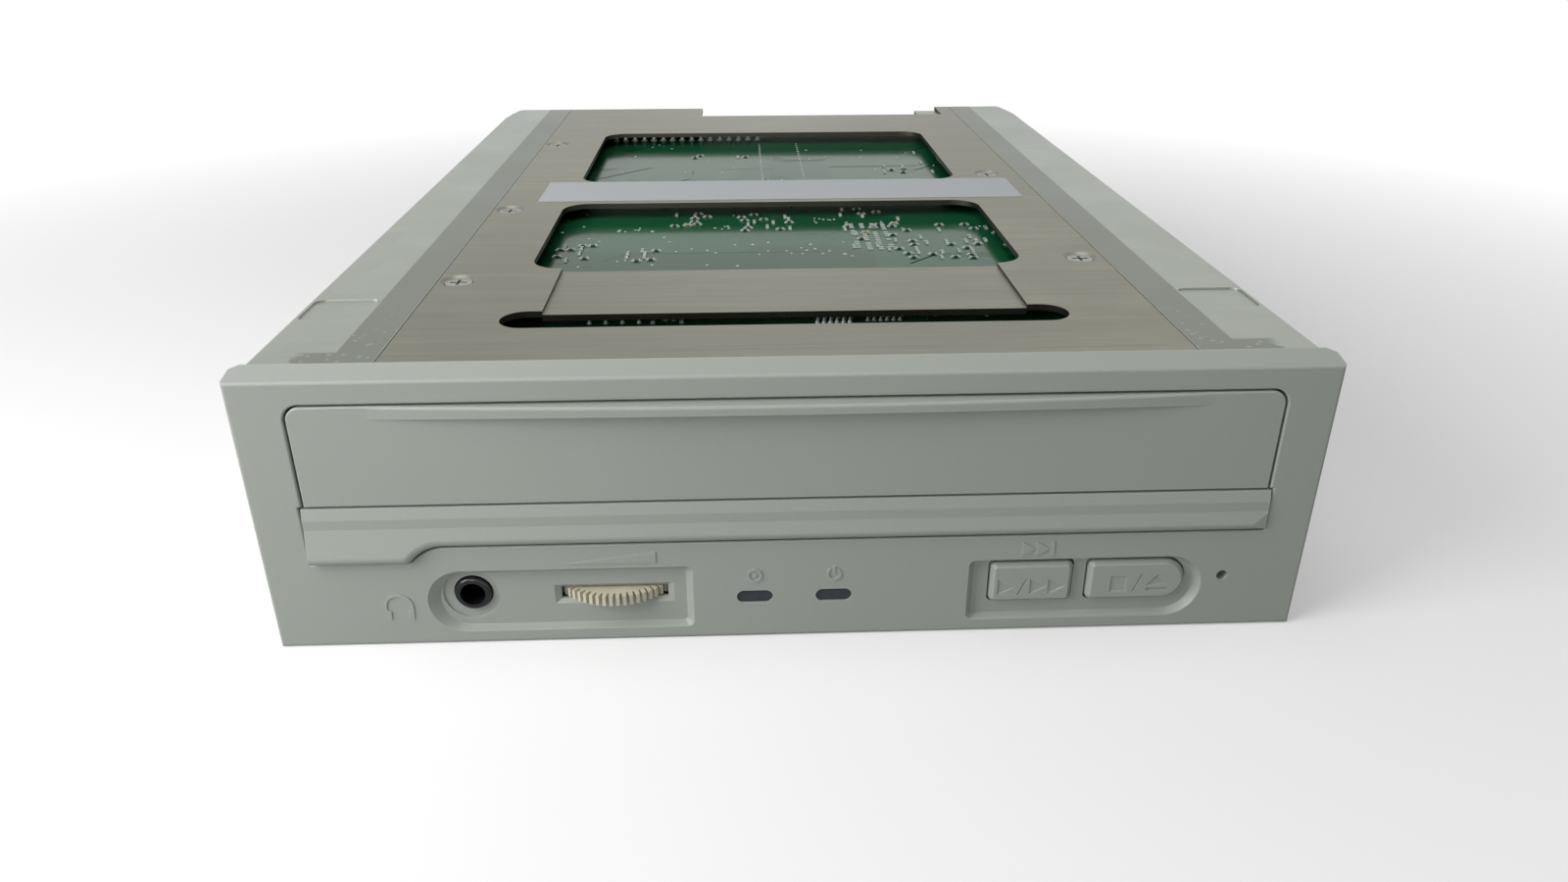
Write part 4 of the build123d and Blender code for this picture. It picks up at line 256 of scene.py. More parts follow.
# handling has rubbed the grain paler and smoother along the edges, 0.5 mm in
edge = worn_edge(tree, 0.5 * MM, 0.99, 0.84, 0.35)
shade = add(tree, "Mix", {"data_type": "RGBA", 7: linear("B7BBB4")},
            {0: edge.outputs[0], 6: shade.outputs[2]})
tree.links.new(shade.outputs[2], shader.inputs["Base Color"])
shader.inputs["IOR"].default_value = 1.54
rough = add(tree, "MapRange", {"To Min": 0.42, "To Max": 0.58}, {"Value": grain.outputs["Fac"]})
rough = add(tree, "Math", {"operation": "MULTIPLY_ADD", 1: -0.3}, {0: edge.outputs[0], 2: rough.outputs[0]})
tree.links.new(rough.outputs[0], shader.inputs["Roughness"])
relief = add(tree, "Bump", {"Strength": 0.25, "Distance": 0.00003}, {"Height": grain.outputs["Fac"]})
tree.links.new(relief.outputs[0], shader.inputs["Normal"])
for name in ("front_bezel", "tray_door", "tray_lower_strip", "play_button", "eject_button"):
    finish(name, moulded)


# The tray and the clamp's disc: ABS of the bezel's colour family, moulded smoother because the disc
# lies on it. It slides on the loader's rails, which polish its runners.
# fine-grained ABS: a darker and smoother grey than the bezel, with a 0.2 mm grain drawn at 0.3 mm
tray_abs, tree, place, shader = material("fine_grained_tray_abs")
grain = add(tree, "TexNoise", {"Scale": 1000 / 0.3, "Detail": 2.0}, {"Vector": place})
drift = add(tree, "TexNoise", {"Scale": 1000 / 35, "Detail": 3.0}, {"Vector": place})
shade = add(tree, "Mix", {"data_type": "RGBA", 6: linear("8E918C"), 7: linear("858883")},
            {0: drift.outputs["Fac"]})
tree.links.new(shade.outputs[2], shader.inputs["Base Color"])
shader.inputs["IOR"].default_value = 1.54
rough = add(tree, "MapRange", {"To Min": 0.36, "To Max": 0.5}, {"Value": drift.outputs["Fac"]})
tree.links.new(rough.outputs[0], shader.inputs["Roughness"])
relief = add(tree, "Bump", {"Strength": 0.15, "Distance": 0.00002}, {"Height": grain.outputs["Fac"]})
tree.links.new(relief.outputs[0], shader.inputs["Normal"])
for name in ("disc_tray", "clamp_disc"):
    finish(name, tray_abs)


# The loader's chassis, the lifting frame, the pickup's body and lens holder, and the base of the
# volume control: glass-filled resin, nearly black, stiff and dead flat.
# glass-filled resin: a dull black-grey, with the short fibres' ends showing as pale flecks 0.6 mm apart
filled, tree, place, shader = material("glass_filled_resin")
fleck = add(tree, "TexVoronoi", {"Scale": 1000 / 0.6, "Randomness": 1.0}, {"Vector": place})
speck = add(tree, "MapRange", {"From Min": 0.0, "From Max": 0.22, "To Min": 0.35, "To Max": 0.0},
            {"Value": fleck.outputs["Distance"]})
shade = add(tree, "Mix", {"data_type": "RGBA", 6: linear("26282A"), 7: linear("4A4D4F")},
            {0: speck.outputs[0]})
tree.links.new(shade.outputs[2], shader.inputs["Base Color"])
shader.inputs["IOR"].default_value = 1.55
rough = add(tree, "MapRange", {"To Min": 0.5, "To Max": 0.65}, {"Value": fleck.outputs["Distance"]})
tree.links.new(rough.outputs[0], shader.inputs["Roughness"])
relief = add(tree, "Bump", {"Strength": 0.2, "Distance": 0.00003}, {"Height": fleck.outputs["Distance"]})
tree.links.new(relief.outputs[0], shader.inputs["Normal"])
for name in ("loader_frame", "lift_frame", "laser_sled", "lens_holder", "volume_control"):
    finish(name, filled)


# The volume wheel: an ivory resin disc with square teeth that stands out of its slot and turns on
# the control behind the bezel.
# ivory resin: warm and a little waxy, soiled in patches by the thumb
ivory, tree, place, shader = material("ivory_wheel_resin")
soil = add(tree, "TexNoise", {"Scale": 1000 / 2.5, "Detail": 4.0}, {"Vector": place})
shade = add(tree, "Mix", {"data_type": "RGBA", 6: linear("D2CEBB"), 7: linear("BAB59F")},
            {0: soil.outputs["Fac"]})
tree.links.new(shade.outputs[2], shader.inputs["Base Color"])
shader.inputs["Roughness"].default_value = 0.42
shader.inputs["IOR"].default_value = 1.53
shader.inputs["Subsurface Weight"].default_value = 0.08
shader.inputs["Subsurface Radius"].default_value = (0.8, 0.6, 0.4)
shader.inputs["Subsurface Scale"].default_value = 0.0008
relief = add(tree, "Bump", {"Strength": 0.1, "Distance": 0.00003}, {"Height": soil.outputs["Fac"]})
tree.links.new(relief.outputs[0], shader.inputs["Normal"])
finish("volume_wheel", ivory)


# The pieces in black resin: the headphone socket, the push switches, the data header, the jumper
# block and its caps, the sound socket and the turntable. All are moulded in polished tools.
# gloss black nylon: deep black with a clear highlight and faint flow marks 3 mm apart
gloss, tree, place, shader = material("gloss_black_nylon")
flow = add(tree, "TexNoise", {"Scale": 1000 / 3, "Detail": 3.0}, {"Vector": place})
shade = add(tree, "Mix", {"data_type": "RGBA", 6: linear("101112"), 7: linear("18191B")},
            {0: flow.outputs["Fac"]})
tree.links.new(shade.outputs[2], shader.inputs["Base Color"])
shader.inputs["IOR"].default_value = 1.53
rough = add(tree, "MapRange", {"To Min": 0.1, "To Max": 0.24}, {"Value": flow.outputs["Fac"]})
tree.links.new(rough.outputs[0], shader.inputs["Roughness"])
relief = add(tree, "Bump", {"Strength": 0.05, "Distance": 0.00005}, {"Height": flow.outputs["Fac"]})
tree.links.new(relief.outputs[0], shader.inputs["Normal"])
for name in ("headphone_jack", "push_switches", "turntable", "data_header", "jumper_block", "jumper_caps",
             "audio_socket"):
    finish(name, gloss)


# The two lamps: smoke-grey windows of clear resin pressed into the bezel, each with a lamp of amber
# epoxy behind it. They are dark while the drive is off.
# smoked resin: dark blue-grey and polished, slightly hazy
smoked, tree, place, shader = material("smoked_window_resin")
haze = add(tree, "TexNoise", {"Scale": 1000 / 1.2, "Detail": 2.0}, {"Vector": place})
shade = add(tree, "Mix", {"data_type": "RGBA", 6: linear("2C3036"), 7: linear("3B4047")},
            {0: haze.outputs["Fac"]})
tree.links.new(shade.outputs[2], shader.inputs["Base Color"])
shader.inputs["Roughness"].default_value = 0.22
shader.inputs["IOR"].default_value = 1.49
finish("lamp_lenses", smoked)
# amber epoxy: honey coloured and slightly hazed
epoxy, tree, place, shader = material("amber_lamp_epoxy")
haze = add(tree, "TexNoise", {"Scale": 1000 / 1.5, "Detail": 2.0}, {"Vector": place})
shade = add(tree, "Mix", {"data_type": "RGBA", 6: linear("C98A2E"), 7: linear("B5762A")},
            {0: haze.outputs["Fac"]})
tree.links.new(shade.outputs[2], shader.inputs["Base Color"])
shader.inputs["Roughness"].default_value = 0.2
shader.inputs["IOR"].default_value = 1.54
finish("indicator_lamps", epoxy)


# The gears, cams, cable sockets and the power inlet: white acetal and nylon, moulded and left
# uncoloured, slightly waxy.
# natural acetal: milky white, smooth, with light passing a millimetre into it
acetal, tree, place, shader = material("natural_acetal")
milk = add(tree, "TexNoise", {"Scale": 1000 / 6, "Detail": 3.0}, {"Vector": place})
shade = add(tree, "Mix", {"data_type": "RGBA", 6: linear("DAD9D0"), 7: linear("CDCBC0")},
            {0: milk.outputs["Fac"]})
tree.links.new(shade.outputs[2], shader.inputs["Base Color"])
shader.inputs["IOR"].default_value = 1.48
shader.inputs["Subsurface Weight"].default_value = 0.1
shader.inputs["Subsurface Radius"].default_value = (1.0, 0.9, 0.8)
shader.inputs["Subsurface Scale"].default_value = 0.001
rough = add(tree, "MapRange", {"To Min": 0.3, "To Max": 0.42}, {"Value": milk.outputs["Fac"]})
tree.links.new(rough.outputs[0], shader.inputs["Roughness"])
relief = add(tree, "Bump", {"Strength": 0.05, "Distance": 0.00004}, {"Height": milk.outputs["Fac"]})
tree.links.new(relief.outputs[0], shader.inputs["Normal"])
for name in ("ribbon_sockets", "tray_gear", "pulley_gear", "cam_plate_left", "cam_plate_right", "sled_gear",
             "power_inlet"):
    finish(name, acetal)


# The loading motor's pulley and the sled motor's pinion: brass, turned from rod, with the pinion's
# teeth cut after that. Each is pressed on its motor's shaft.
# turned brass: yellow metal, a touch tarnished; its tool marks are drawn 1.9 mm apart, so that they show
brass, tree, place, shader = material("turned_brass")
mark = add(tree, "TexWave", {"wave_type": "BANDS", "bands_direction": "Z", "Scale": 1000 / 6,
                             "Distortion": 0.5}, {"Vector": place})
tarnish = add(tree, "TexNoise", {"Scale": 1000 / 2, "Detail": 3.0}, {"Vector": place})
shade = add(tree, "Mix", {"data_type": "RGBA", 6: linear("C9A45A"), 7: linear("A88442")},
            {0: tarnish.outputs["Fac"]})
tree.links.new(shade.outputs[2], shader.inputs["Base Color"])
shader.inputs["Metallic"].default_value = 1.0
shader.inputs["Roughness"].default_value = 0.25
relief = add(tree, "Bump", {"Strength": 0.1, "Distance": 0.00003}, {"Height": mark.outputs["Fac"]})
tree.links.new(relief.outputs[0], shader.inputs["Normal"])
for name in ("motor_pulley", "sled_motor_pinion"):
    finish(name, brass)


# The three motors: cans drawn from nickel plated steel. The loading motor hangs under the loader's
# platform, the spindle motor and the sled motor under the pickup's deck.
# nickel plate: a warm bright metal, satin from the drawing die, with faint streaks up the can
nickel, tree, place, shader = material("nickel_plated_can")
stretch = add(tree, "Mapping", {"Scale": (1.0, 1.0, 0.05)}, {"Vector": place})
streak = add(tree, "TexNoise", {"Scale": 1000 / 0.6, "Detail": 2.0}, {"Vector": stretch.outputs[0]})
shade = add(tree, "Mix", {"data_type": "RGBA", 6: linear("B9B6AE"), 7: linear("A3A098")},
            {0: streak.outputs["Fac"]})
tree.links.new(shade.outputs[2], shader.inputs["Base Color"])
shader.inputs["Metallic"].default_value = 1.0
rough = add(tree, "MapRange", {"To Min": 0.22, "To Max": 0.36}, {"Value": streak.outputs["Fac"]})
tree.links.new(rough.outputs[0], shader.inputs["Roughness"])
for name in ("loading_motor", "spindle_motor", "sled_motor"):
    finish(name, nickel)


# The drive belt and the deck's four spools: black nitrile rubber, the belt ground square and the
# spools moulded soft so that they damp the deck.
# nitrile rubber: matt black with a dusty bloom
rubber, tree, place, shader = material("nitrile_rubber")
bloom = add(tree, "TexNoise", {"Scale": 1000 / 1.5, "Detail": 5.0}, {"Vector": place})
shade = add(tree, "Mix", {"data_type": "RGBA", 6: linear("1B1B1C"), 7: linear("2C2C2D")},
            {0: bloom.outputs["Fac"]})
tree.links.new(shade.outputs[2], shader.inputs["Base Color"])
shader.inputs["Roughness"].default_value = 0.8
shader.inputs["IOR"].default_value = 1.52
relief = add(tree, "Bump", {"Strength": 0.2, "Distance": 0.00004}, {"Height": bloom.outputs["Fac"]})
tree.links.new(relief.outputs[0], shader.inputs["Normal"])
for name in ("drive_belt", "deck_grommets"):
    finish(name, rubber)


# The pickup's objective lens: moulded glass with a violet anti-reflection coating, glued in its
# holder.
# coated glass: clear and hard, with a violet cast from the coating
glass, tree, place, shader = material("coated_lens_glass")
coat = add(tree, "LayerWeight", {"Blend": 0.4})
shade = add(tree, "Mix", {"data_type": "RGBA", 6: linear("9AA6C8"), 7: linear("6E5FA8")},
            {0: coat.outputs["Facing"]})
tree.links.new(shade.outputs[2], shader.inputs["Base Color"])
shader.inputs["Roughness"].default_value = 0.04
shader.inputs["IOR"].default_value = 1.6
shader.inputs["Transmission Weight"].default_value = 0.6
finish("objective_lens", glass)


# The circuit boards: glass-epoxy laminate under a green solder mask. The main board lies under the
# cover with its solder side up; the control board lies flat behind the bezel's controls.
# solder mask over copper: a deep glossy green, lighter over copper, that mirrors a pale room at a low angle
mask, tree, place, shader = material("solder_masked_laminate")
weave = add(tree, "TexNoise", {"Scale": 1000 / 0.7, "Detail": 2.0}, {"Vector": place})
pour = add(tree, "TexVoronoi", {"Scale": 1000 / 26, "Randomness": 0.45, "distance": "CHEBYCHEV"},
           {"Vector": place})
field = add(tree, "RGBToBW", {}, {"Color": pour.outputs["Color"]})
field = add(tree, "MapRange", {"From Min": 0.45, "From Max": 0.47}, {"Value": field.outputs[0]})
shade = add(tree, "Mix", {"data_type": "RGBA", 6: linear("12492C"), 7: linear("1B6240")},
            {0: field.outputs[0]})
shade = add(tree, "Mix", {"data_type": "RGBA", 7: linear("104026")},
            {0: weave.outputs["Fac"], 6: shade.outputs[2]})
tree.links.new(shade.outputs[2], shader.inputs["Base Color"])
rough = add(tree, "MapRange", {"To Min": 0.09, "To Max": 0.17}, {"Value": weave.outputs["Fac"]})
tree.links.new(rough.outputs[0], shader.inputs["Roughness"])
shader.inputs["IOR"].default_value = 1.235
relief = add(tree, "Bump", {"Strength": 0.04, "Distance": 0.00003}, {"Height": weave.outputs["Fac"]})
tree.links.new(relief.outputs[0], shader.inputs["Normal"])
for name in ("main_board", "control_board"):
    finish(name, mask)


# The integrated circuits: epoxy packages soldered or plugged under the main board. The firmware
# chip's 32 tails come up through the board and are soldered on top.
# moulding compound: dull black epoxy; above the board's lower face the same node's tails are tinned, in a tin
# painted paler than the solder as a painted highlight
BOARD_UNDERSIDE = 37.4 * MM
compound, tree, place, shader = material("epoxy_moulding_compound")
dust = add(tree, "TexNoise", {"Scale": 1000 / 0.4, "Detail": 3.0}, {"Vector": place})
split = add(tree, "SeparateXYZ", {}, {"Vector": place})
tail_tin_and_highlight = add(tree, "Math", {"operation": "GREATER_THAN", 1: BOARD_UNDERSIDE}, {0: split.outputs["Z"]})
shade = add(tree, "Mix", {"data_type": "RGBA", 6: linear("222325"), 7: linear("303133")},
            {0: dust.outputs["Fac"]})
# painted highlight: the tails above the board are a near white tin, lighter than the solder, to stand in for
# the light they catch
shade = add(tree, "Mix", {"data_type": "RGBA", 7: linear("E0E3E4")},
            {0: tail_tin_and_highlight.outputs[0], 6: shade.outputs[2]})
tree.links.new(shade.outputs[2], shader.inputs["Base Color"])
metal = add(tree, "Math", {"operation": "MULTIPLY", 1: 0.2}, {0: tail_tin_and_highlight.outputs[0]})
tree.links.new(metal.outputs[0], shader.inputs["Metallic"])
rough = add(tree, "MapRange", {"To Min": 0.62, "To Max": 0.26}, {"Value": tail_tin_and_highlight.outputs[0]})
tree.links.new(rough.outputs[0], shader.inputs["Roughness"])
relief = add(tree, "Bump", {"Strength": 0.15, "Distance": 0.00002}, {"Height": dust.outputs["Fac"]})
tree.links.new(relief.outputs[0], shader.inputs["Normal"])
for name in ("firmware_chip", "board_chips"):
    finish(name, compound)


# The capacitors under the main board: aluminium cans in a shrunk sleeve, soldered to the board so
# that they hang with their tops down.
# shrunk vinyl sleeve: dark blue with a soft shine; the can's bare aluminium end shows at the bottom
SLEEVE_BOTTOM = 32.1 * MM
sleeve, tree, place, shader = material("vinyl_capacitor_sleeve")
ripple = add(tree, "TexNoise", {"Scale": 1000 / 1.5, "Detail": 2.0}, {"Vector": place})
split = add(tree, "SeparateXYZ", {}, {"Vector": place})
bare = add(tree, "Math", {"operation": "LESS_THAN", 1: SLEEVE_BOTTOM}, {0: split.outputs["Z"]})
shade = add(tree, "Mix", {"data_type": "RGBA", 6: linear("1C2440"), 7: linear("26304F")},
            {0: ripple.outputs["Fac"]})
shade = add(tree, "Mix", {"data_type": "RGBA", 7: linear("B9BBBD")},
            {0: bare.outputs[0], 6: shade.outputs[2]})
tree.links.new(shade.outputs[2], shader.inputs["Base Color"])
tree.links.new(bare.outputs[0], shader.inputs["Metallic"])
shader.inputs["Roughness"].default_value = 0.34
finish("board_capacitors", sleeve)


# The contact pins: drawn wire, held in the sockets at the back. They are gold flashed where they
# carry signals and tinned brass in the power inlet.
# gold flash: a pale yellow mirror, rubbed in patches
gold, tree, place, shader = material("gold_flashed_pin")
rub = add(tree, "TexNoise", {"Scale": 1000 / 0.8, "Detail": 2.0}, {"Vector": place})
shade = add(tree, "Mix", {"data_type": "RGBA", 6: linear("D9B66A"), 7: linear("C9A050")},
            {0: rub.outputs["Fac"]})
tree.links.new(shade.outputs[2], shader.inputs["Base Color"])
shader.inputs["Metallic"].default_value = 1.0
shader.inputs["Roughness"].default_value = 0.2
for name in ("data_pins", "jumper_pins", "audio_pins"):
    finish(name, gold)
# tin plate: a soft grey mirror with fine pitting
tin, tree, place, shader = material("tinned_contact")
pit = add(tree, "TexNoise", {"Scale": 1000 / 0.5, "Detail": 3.0}, {"Vector": place})
shade = add(tree, "Mix", {"data_type": "RGBA", 6: linear("C6C8CA"), 7: linear("AEB1B4")},
            {0: pit.outputs["Fac"]})
tree.links.new(shade.outputs[2], shader.inputs["Base Color"])
shader.inputs["Metallic"].default_value = 1.0
rough = add(tree, "MapRange", {"To Min": 0.18, "To Max": 0.36}, {"Value": pit.outputs["Fac"]})
tree.links.new(rough.outputs[0], shader.inputs["Roughness"])
relief = add(tree, "Bump", {"Strength": 0.1, "Distance": 0.00003}, {"Height": pit.outputs["Fac"]})
tree.links.new(relief.outputs[0], shader.inputs["Normal"])
finish("power_pins", tin)


# The flat cable: tinned copper strips 1 mm apart, laminated in white polyester. It runs up the right
# side, from a socket on the control board to one under the main board.
# laminated polyester: white satin film with the strips showing through as grey lines along it
film, tree, place, shader = material("white_flat_cable")
strip = add(tree, "TexWave", {"wave_type": "BANDS", "bands_direction": "Y", "Scale": 1000 / 6.28 / 0.5},
            {"Vector": place})
shade = add(tree, "Mix", {"data_type": "RGBA", 6: linear("D3D4D0"), 7: linear("BFC1BF")},
            {0: strip.outputs["Fac"]})
tree.links.new(shade.outputs[2], shader.inputs["Base Color"])
shader.inputs["Roughness"].default_value = 0.38
shader.inputs["IOR"].default_value = 1.5
relief = add(tree, "Bump", {"Strength": 0.3, "Distance": 0.00005}, {"Height": strip.outputs["Fac"]})
tree.links.new(relief.outputs[0], shader.inputs["Normal"])
finish("ribbon_cable", film)


# The solder side of the main board: etched copper under the mask, solder on the through joints, and
# surface-mounted resistors and capacitors in groups. All of it stands at most 1.5 mm above the
# laminate, clear of the cover. Sizes and places in this section are in mm from the bezel's face.
FACE_TO_MIDDLE = 101.375
BOARD_TOP = 39.0


def at(x, y, z):
    """Millimetres from the bezel's face, as metres in the frame."""
    return Vector((x, y - FACE_TO_MIDDLE, z)) * MM


def piece(name, shape, made, body):
    """Turns a mesh in the making into a piece that rides on a body."""
    bmesh.ops.recalc_face_normals(shape, faces=shape.faces)
    mesh = bpy.data.meshes.new(name)
    shape.to_mesh(mesh)
    shape.free()
    mesh.materials.append(made)
    built = bpy.data.objects.new(name, mesh)
    bpy.context.scene.collection.objects.link(built)
    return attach(built, body)


CHAMFER_SHARE = 0.18


def slab(shape, x, y, z, length, width, height, turn=0.0):
    """A closed block with chamfered top edges, standing on z."""
    c, s = math.cos(turn), math.sin(turn)
    cut = min(length, width, height) * CHAMFER_SHARE
    rings = []
    for lift, inset in ((0, 0), (height - cut, 0), (height, cut)):
        half_length, half_width = length / 2 - inset, width / 2 - inset
        corners = [(a * half_length, b * half_width) for a, b in ((-1, -1), (1, -1), (1, 1), (-1, 1))]
        rings.append([shape.verts.new(at(x + u * c - v * s, y + u * s + v * c, z + lift))
                      for u, v in corners])
    shape.faces.new(rings[0][::-1])
    for low, top in zip(rings, rings[1:]):
        for i in range(4):
            j = (i + 1) % 4
            shape.faces.new((low[i], low[j], top[j], top[i]))
    shape.faces.new(rings[-1])


def bead(shape, x, y, z, radius, height, around=10, tip=0.0):
    """A closed bead of solder, domed or drawn up to a wire's tip. The profile is in shares of the
    radius and the height."""
    profile = [(1.0, 0.0), (0.82, 0.42), (0.5, 0.8)]
    if tip:
        profile = [(1.0, 0.0), (0.62, 0.3), (tip, 0.75), (tip, 0.94)]
    rings = [[shape.verts.new(at(x + radius * r * math.cos(2 * math.pi * k / around),
                                 y + radius * r * math.sin(2 * math.pi * k / around), z + height * h))
              for k in range(around)] for r, h in profile]
    peak = shape.verts.new(at(x, y, z + height))
    shape.faces.new(rings[0][::-1])
    for low, top in zip(rings, rings[1:]):
        for k in range(around):
            shape.faces.new((low[k], low[(k + 1) % around], top[(k + 1) % around], top[k]))
    for k in range(around):
        shape.faces.new((rings[-1][k], rings[-1][(k + 1) % around], peak))


# a mitre longer than twice the half width would stick out at a corner
LEAST_MITRE = 0.5


def track(shape, points, width, z, height):
    """A closed flat strip along a line of points, mitred at its corners."""
    edges = []
    for i, (x, y) in enumerate(points):
        before = points[max(i - 1, 0)]
        after = points[min(i + 1, len(points) - 1)]
        ways = []
        if i:
            ways.append((x - before[0], y - before[1]))
        if i < len(points) - 1:
            ways.append((after[0] - x, after[1] - y))
        ways = [(a / math.hypot(a, b), b / math.hypot(a, b)) for a, b in ways]
        nx = -sum(w[1] for w in ways)
        ny = sum(w[0] for w in ways)
        size = math.hypot(nx, ny)
        nx, ny = nx / size, ny / size
        reach = width / 2 / max(LEAST_MITRE, nx * -ways[0][1] + ny * ways[0][0])
        edges.append([shape.verts.new(at(x + side * nx * reach, y + side * ny * reach, z + lift))
                      for side, lift in ((1, 0), (-1, 0), (-1, height), (1, height))])
    shape.faces.new(edges[0][::-1])
    for a, b in zip(edges, edges[1:]):
        for k in range(4):
            shape.faces.new((a[k], a[(k + 1) % 4], b[(k + 1) % 4], b[k]))
    shape.faces.new(edges[-1])


chance = random.Random(7)
# a part: its grid and the room it needs, then its body, its two end caps and its two solder pads
PART_GRID = 0.635
PART_ROOM = (1.9, 1.5)
PART_LENGTH, PART_WIDTH, RESISTOR_HEIGHT, CAPACITOR_HEIGHT = 0.76, 0.5, 0.26, 0.36
CAP_LENGTH, CAP_WIDTH, CAP_OUT, CAP_PROUD = 0.3, 0.56, 0.5, (0.33, 0.42)
PAD_LENGTH, PAD_WIDTH, PAD_OUT, PAD_HEIGHT = 0.42, 0.62, 0.76, 0.14
PART_LIFT, CAP_LIFT, SHARE_OF_CAPACITORS = 0.05, 0.04, 0.08
TRIES = 3
# groups of parts: left, right, front and back in mm from the face, and how many parts stand there
groups = [(-20, -12, 83, 94, 9), (-6.5, 3.5, 80, 92.5, 15), (13, 22, 89, 96, 6), (13, 26, 64, 88, 18),
          (23.5, 29, 60, 75, 9), (32, 44, 64, 83, 17), (30, 36, 58, 64.5, 6), (-40, -34, 61, 71.5, 10),
          (-28, -22, 59.5, 67, 9), (28, 33, 130, 138, 6), (-18.5, -15.5, 149, 155, 2), (-8, -5, 148, 154, 2),
          (37, 50, 130, 176, 7), (-21, -15, 27, 30, 3), (-12, 24, 112, 126, 7), (-58, -46, 60, 150, 12)]
taken = []
bodies, caps, ends, dabs = bmesh.new(), bmesh.new(), bmesh.new(), bmesh.new()
for left, right, front, back, count in groups:
    for _ in range(count * TRIES):
        if count <= 0:
            break
        x = round(chance.uniform(left, right) / PART_GRID) * PART_GRID
        y = round(chance.uniform(front, back) / PART_GRID) * PART_GRID
        if any(abs(x - u) < PART_ROOM[0] and abs(y - v) < PART_ROOM[1] for u, v in taken):
            continue
        taken.append((x, y))
        count -= 1
        turn = chance.choice((0.0, math.pi / 2))
        tan = chance.random() < SHARE_OF_CAPACITORS
        c, s = math.cos(turn), math.sin(turn)
        slab(caps if tan else bodies, x, y, BOARD_TOP + PART_LIFT, PART_LENGTH, PART_WIDTH,
             CAPACITOR_HEIGHT if tan else RESISTOR_HEIGHT, turn)
        for side in (-1, 1):
            slab(ends, x + side * CAP_OUT * c, y + side * CAP_OUT * s, BOARD_TOP + CAP_LIFT,
                 CAP_LENGTH, CAP_WIDTH, CAP_PROUD[tan], turn)
            slab(dabs, x + side * PAD_OUT * c, y + side * PAD_OUT * s, BOARD_TOP,
                 PAD_LENGTH, PAD_WIDTH, PAD_HEIGHT, turn)
# solder on the through joints of the cable sockets and chips, as bright cones with the cut pin inside
joints, tails = bmesh.new(), bmesh.new()
PIN_PITCH = 2.54
SOCKET_PITCH = 1.0
CONE_RADIUS, WIRE_SHARE = 0.42, 0.3
for left, count, pitch, front, tall in ((5.0, 6, SOCKET_PITCH, 26.4, 1.2), (5.3, 6, SOCKET_PITCH, 28.2, 1.2),
                                        (5.6, 6, SOCKET_PITCH, 30.0, 1.2), (12.8, 6, SOCKET_PITCH, 27.2, 0.7),
                                        (13.2, 6, SOCKET_PITCH, 28.9, 0.7), (-30.0, 4, PIN_PITCH, 27.6, 1.2)):
    for k in range(count):
        bead(joints, left + pitch * k, front, BOARD_TOP, CONE_RADIUS, tall, tip=WIRE_SHARE)
# the firmware chip's tails are longer and stand in cones of their own, tinned like them, in the same pale tin
# with its painted highlight
FIRMWARE_LEFT = -39.75
FIRMWARE_ROWS = (172.6, 180.22)
FIRMWARE_TAILS = 32
TAIL_RADIUS, TAIL_HEIGHT, TAIL_SHARE = 0.95, 1.5, 0.5
for k in range(FIRMWARE_TAILS // len(FIRMWARE_ROWS)):
    for back in FIRMWARE_ROWS:
        bead(tails, FIRMWARE_LEFT + PIN_PITCH * k, back, BOARD_TOP, TAIL_RADIUS, TAIL_HEIGHT, tip=TAIL_SHARE)
# small beads of solder in the holes that join the two sides, in groups like the parts
HOLE_ROOM = (1.5, 1.2)
HOLE_RADII, LOW_BEAD, FEW_SIDES = (0.22, 0.36), 0.1, 8
for left, right, front, back, count in ((-32, -23, 80, 83, 9), (-12, -8, 81, 84, 5), (8, 14, 86, 90, 7),
                                        (-16, 14, 63, 68, 16), (-42, 42, 56, 94, 34), (-40, 42, 112, 168, 26),
                                        (-40, 40, 22, 32, 8)):
    for _ in range(count):
        x, y = chance.uniform(left, right), chance.uniform(front, back)
        if all(abs(x - u) > HOLE_ROOM[0] or abs(y - v) > HOLE_ROOM[1] for u, v in taken):
            bead(joints, x, y, BOARD_TOP, chance.uniform(*HOLE_RADII), LOW_BEAD, FEW_SIDES)
# four close rows of pads in the front window's right half, some of them not filled
ROW_SIDES = (15.4, 17.5, 19.6, 21.7)
ROW_FRONT, ROW_PITCH, ROW_PADS, SHARE_FILLED = 66.0, 1.27, 15, 0.7
ROW_PAD_SIZE = (0.9, 0.5, 0.15)
for k in range(ROW_PADS):
    for x in ROW_SIDES:
        if chance.random() < SHARE_FILLED:
            slab(dabs, x, ROW_FRONT + ROW_PITCH * k, BOARD_TOP, *ROW_PAD_SIZE)
# a long chip's two rows of joints in the rear window, seen as two faint lines
CHIP_SIDES = (-1.3, 8.5)
CHIP_FRONT, CHIP_JOINTS, CHIP_JOINT_RADIUS = 126.0, 17, 0.33
for k in range(CHIP_JOINTS):
    for x in CHIP_SIDES:
        bead(joints, x, CHIP_FRONT + PIN_PITCH * k, BOARD_TOP, CHIP_JOINT_RADIUS, LOW_BEAD, FEW_SIDES)

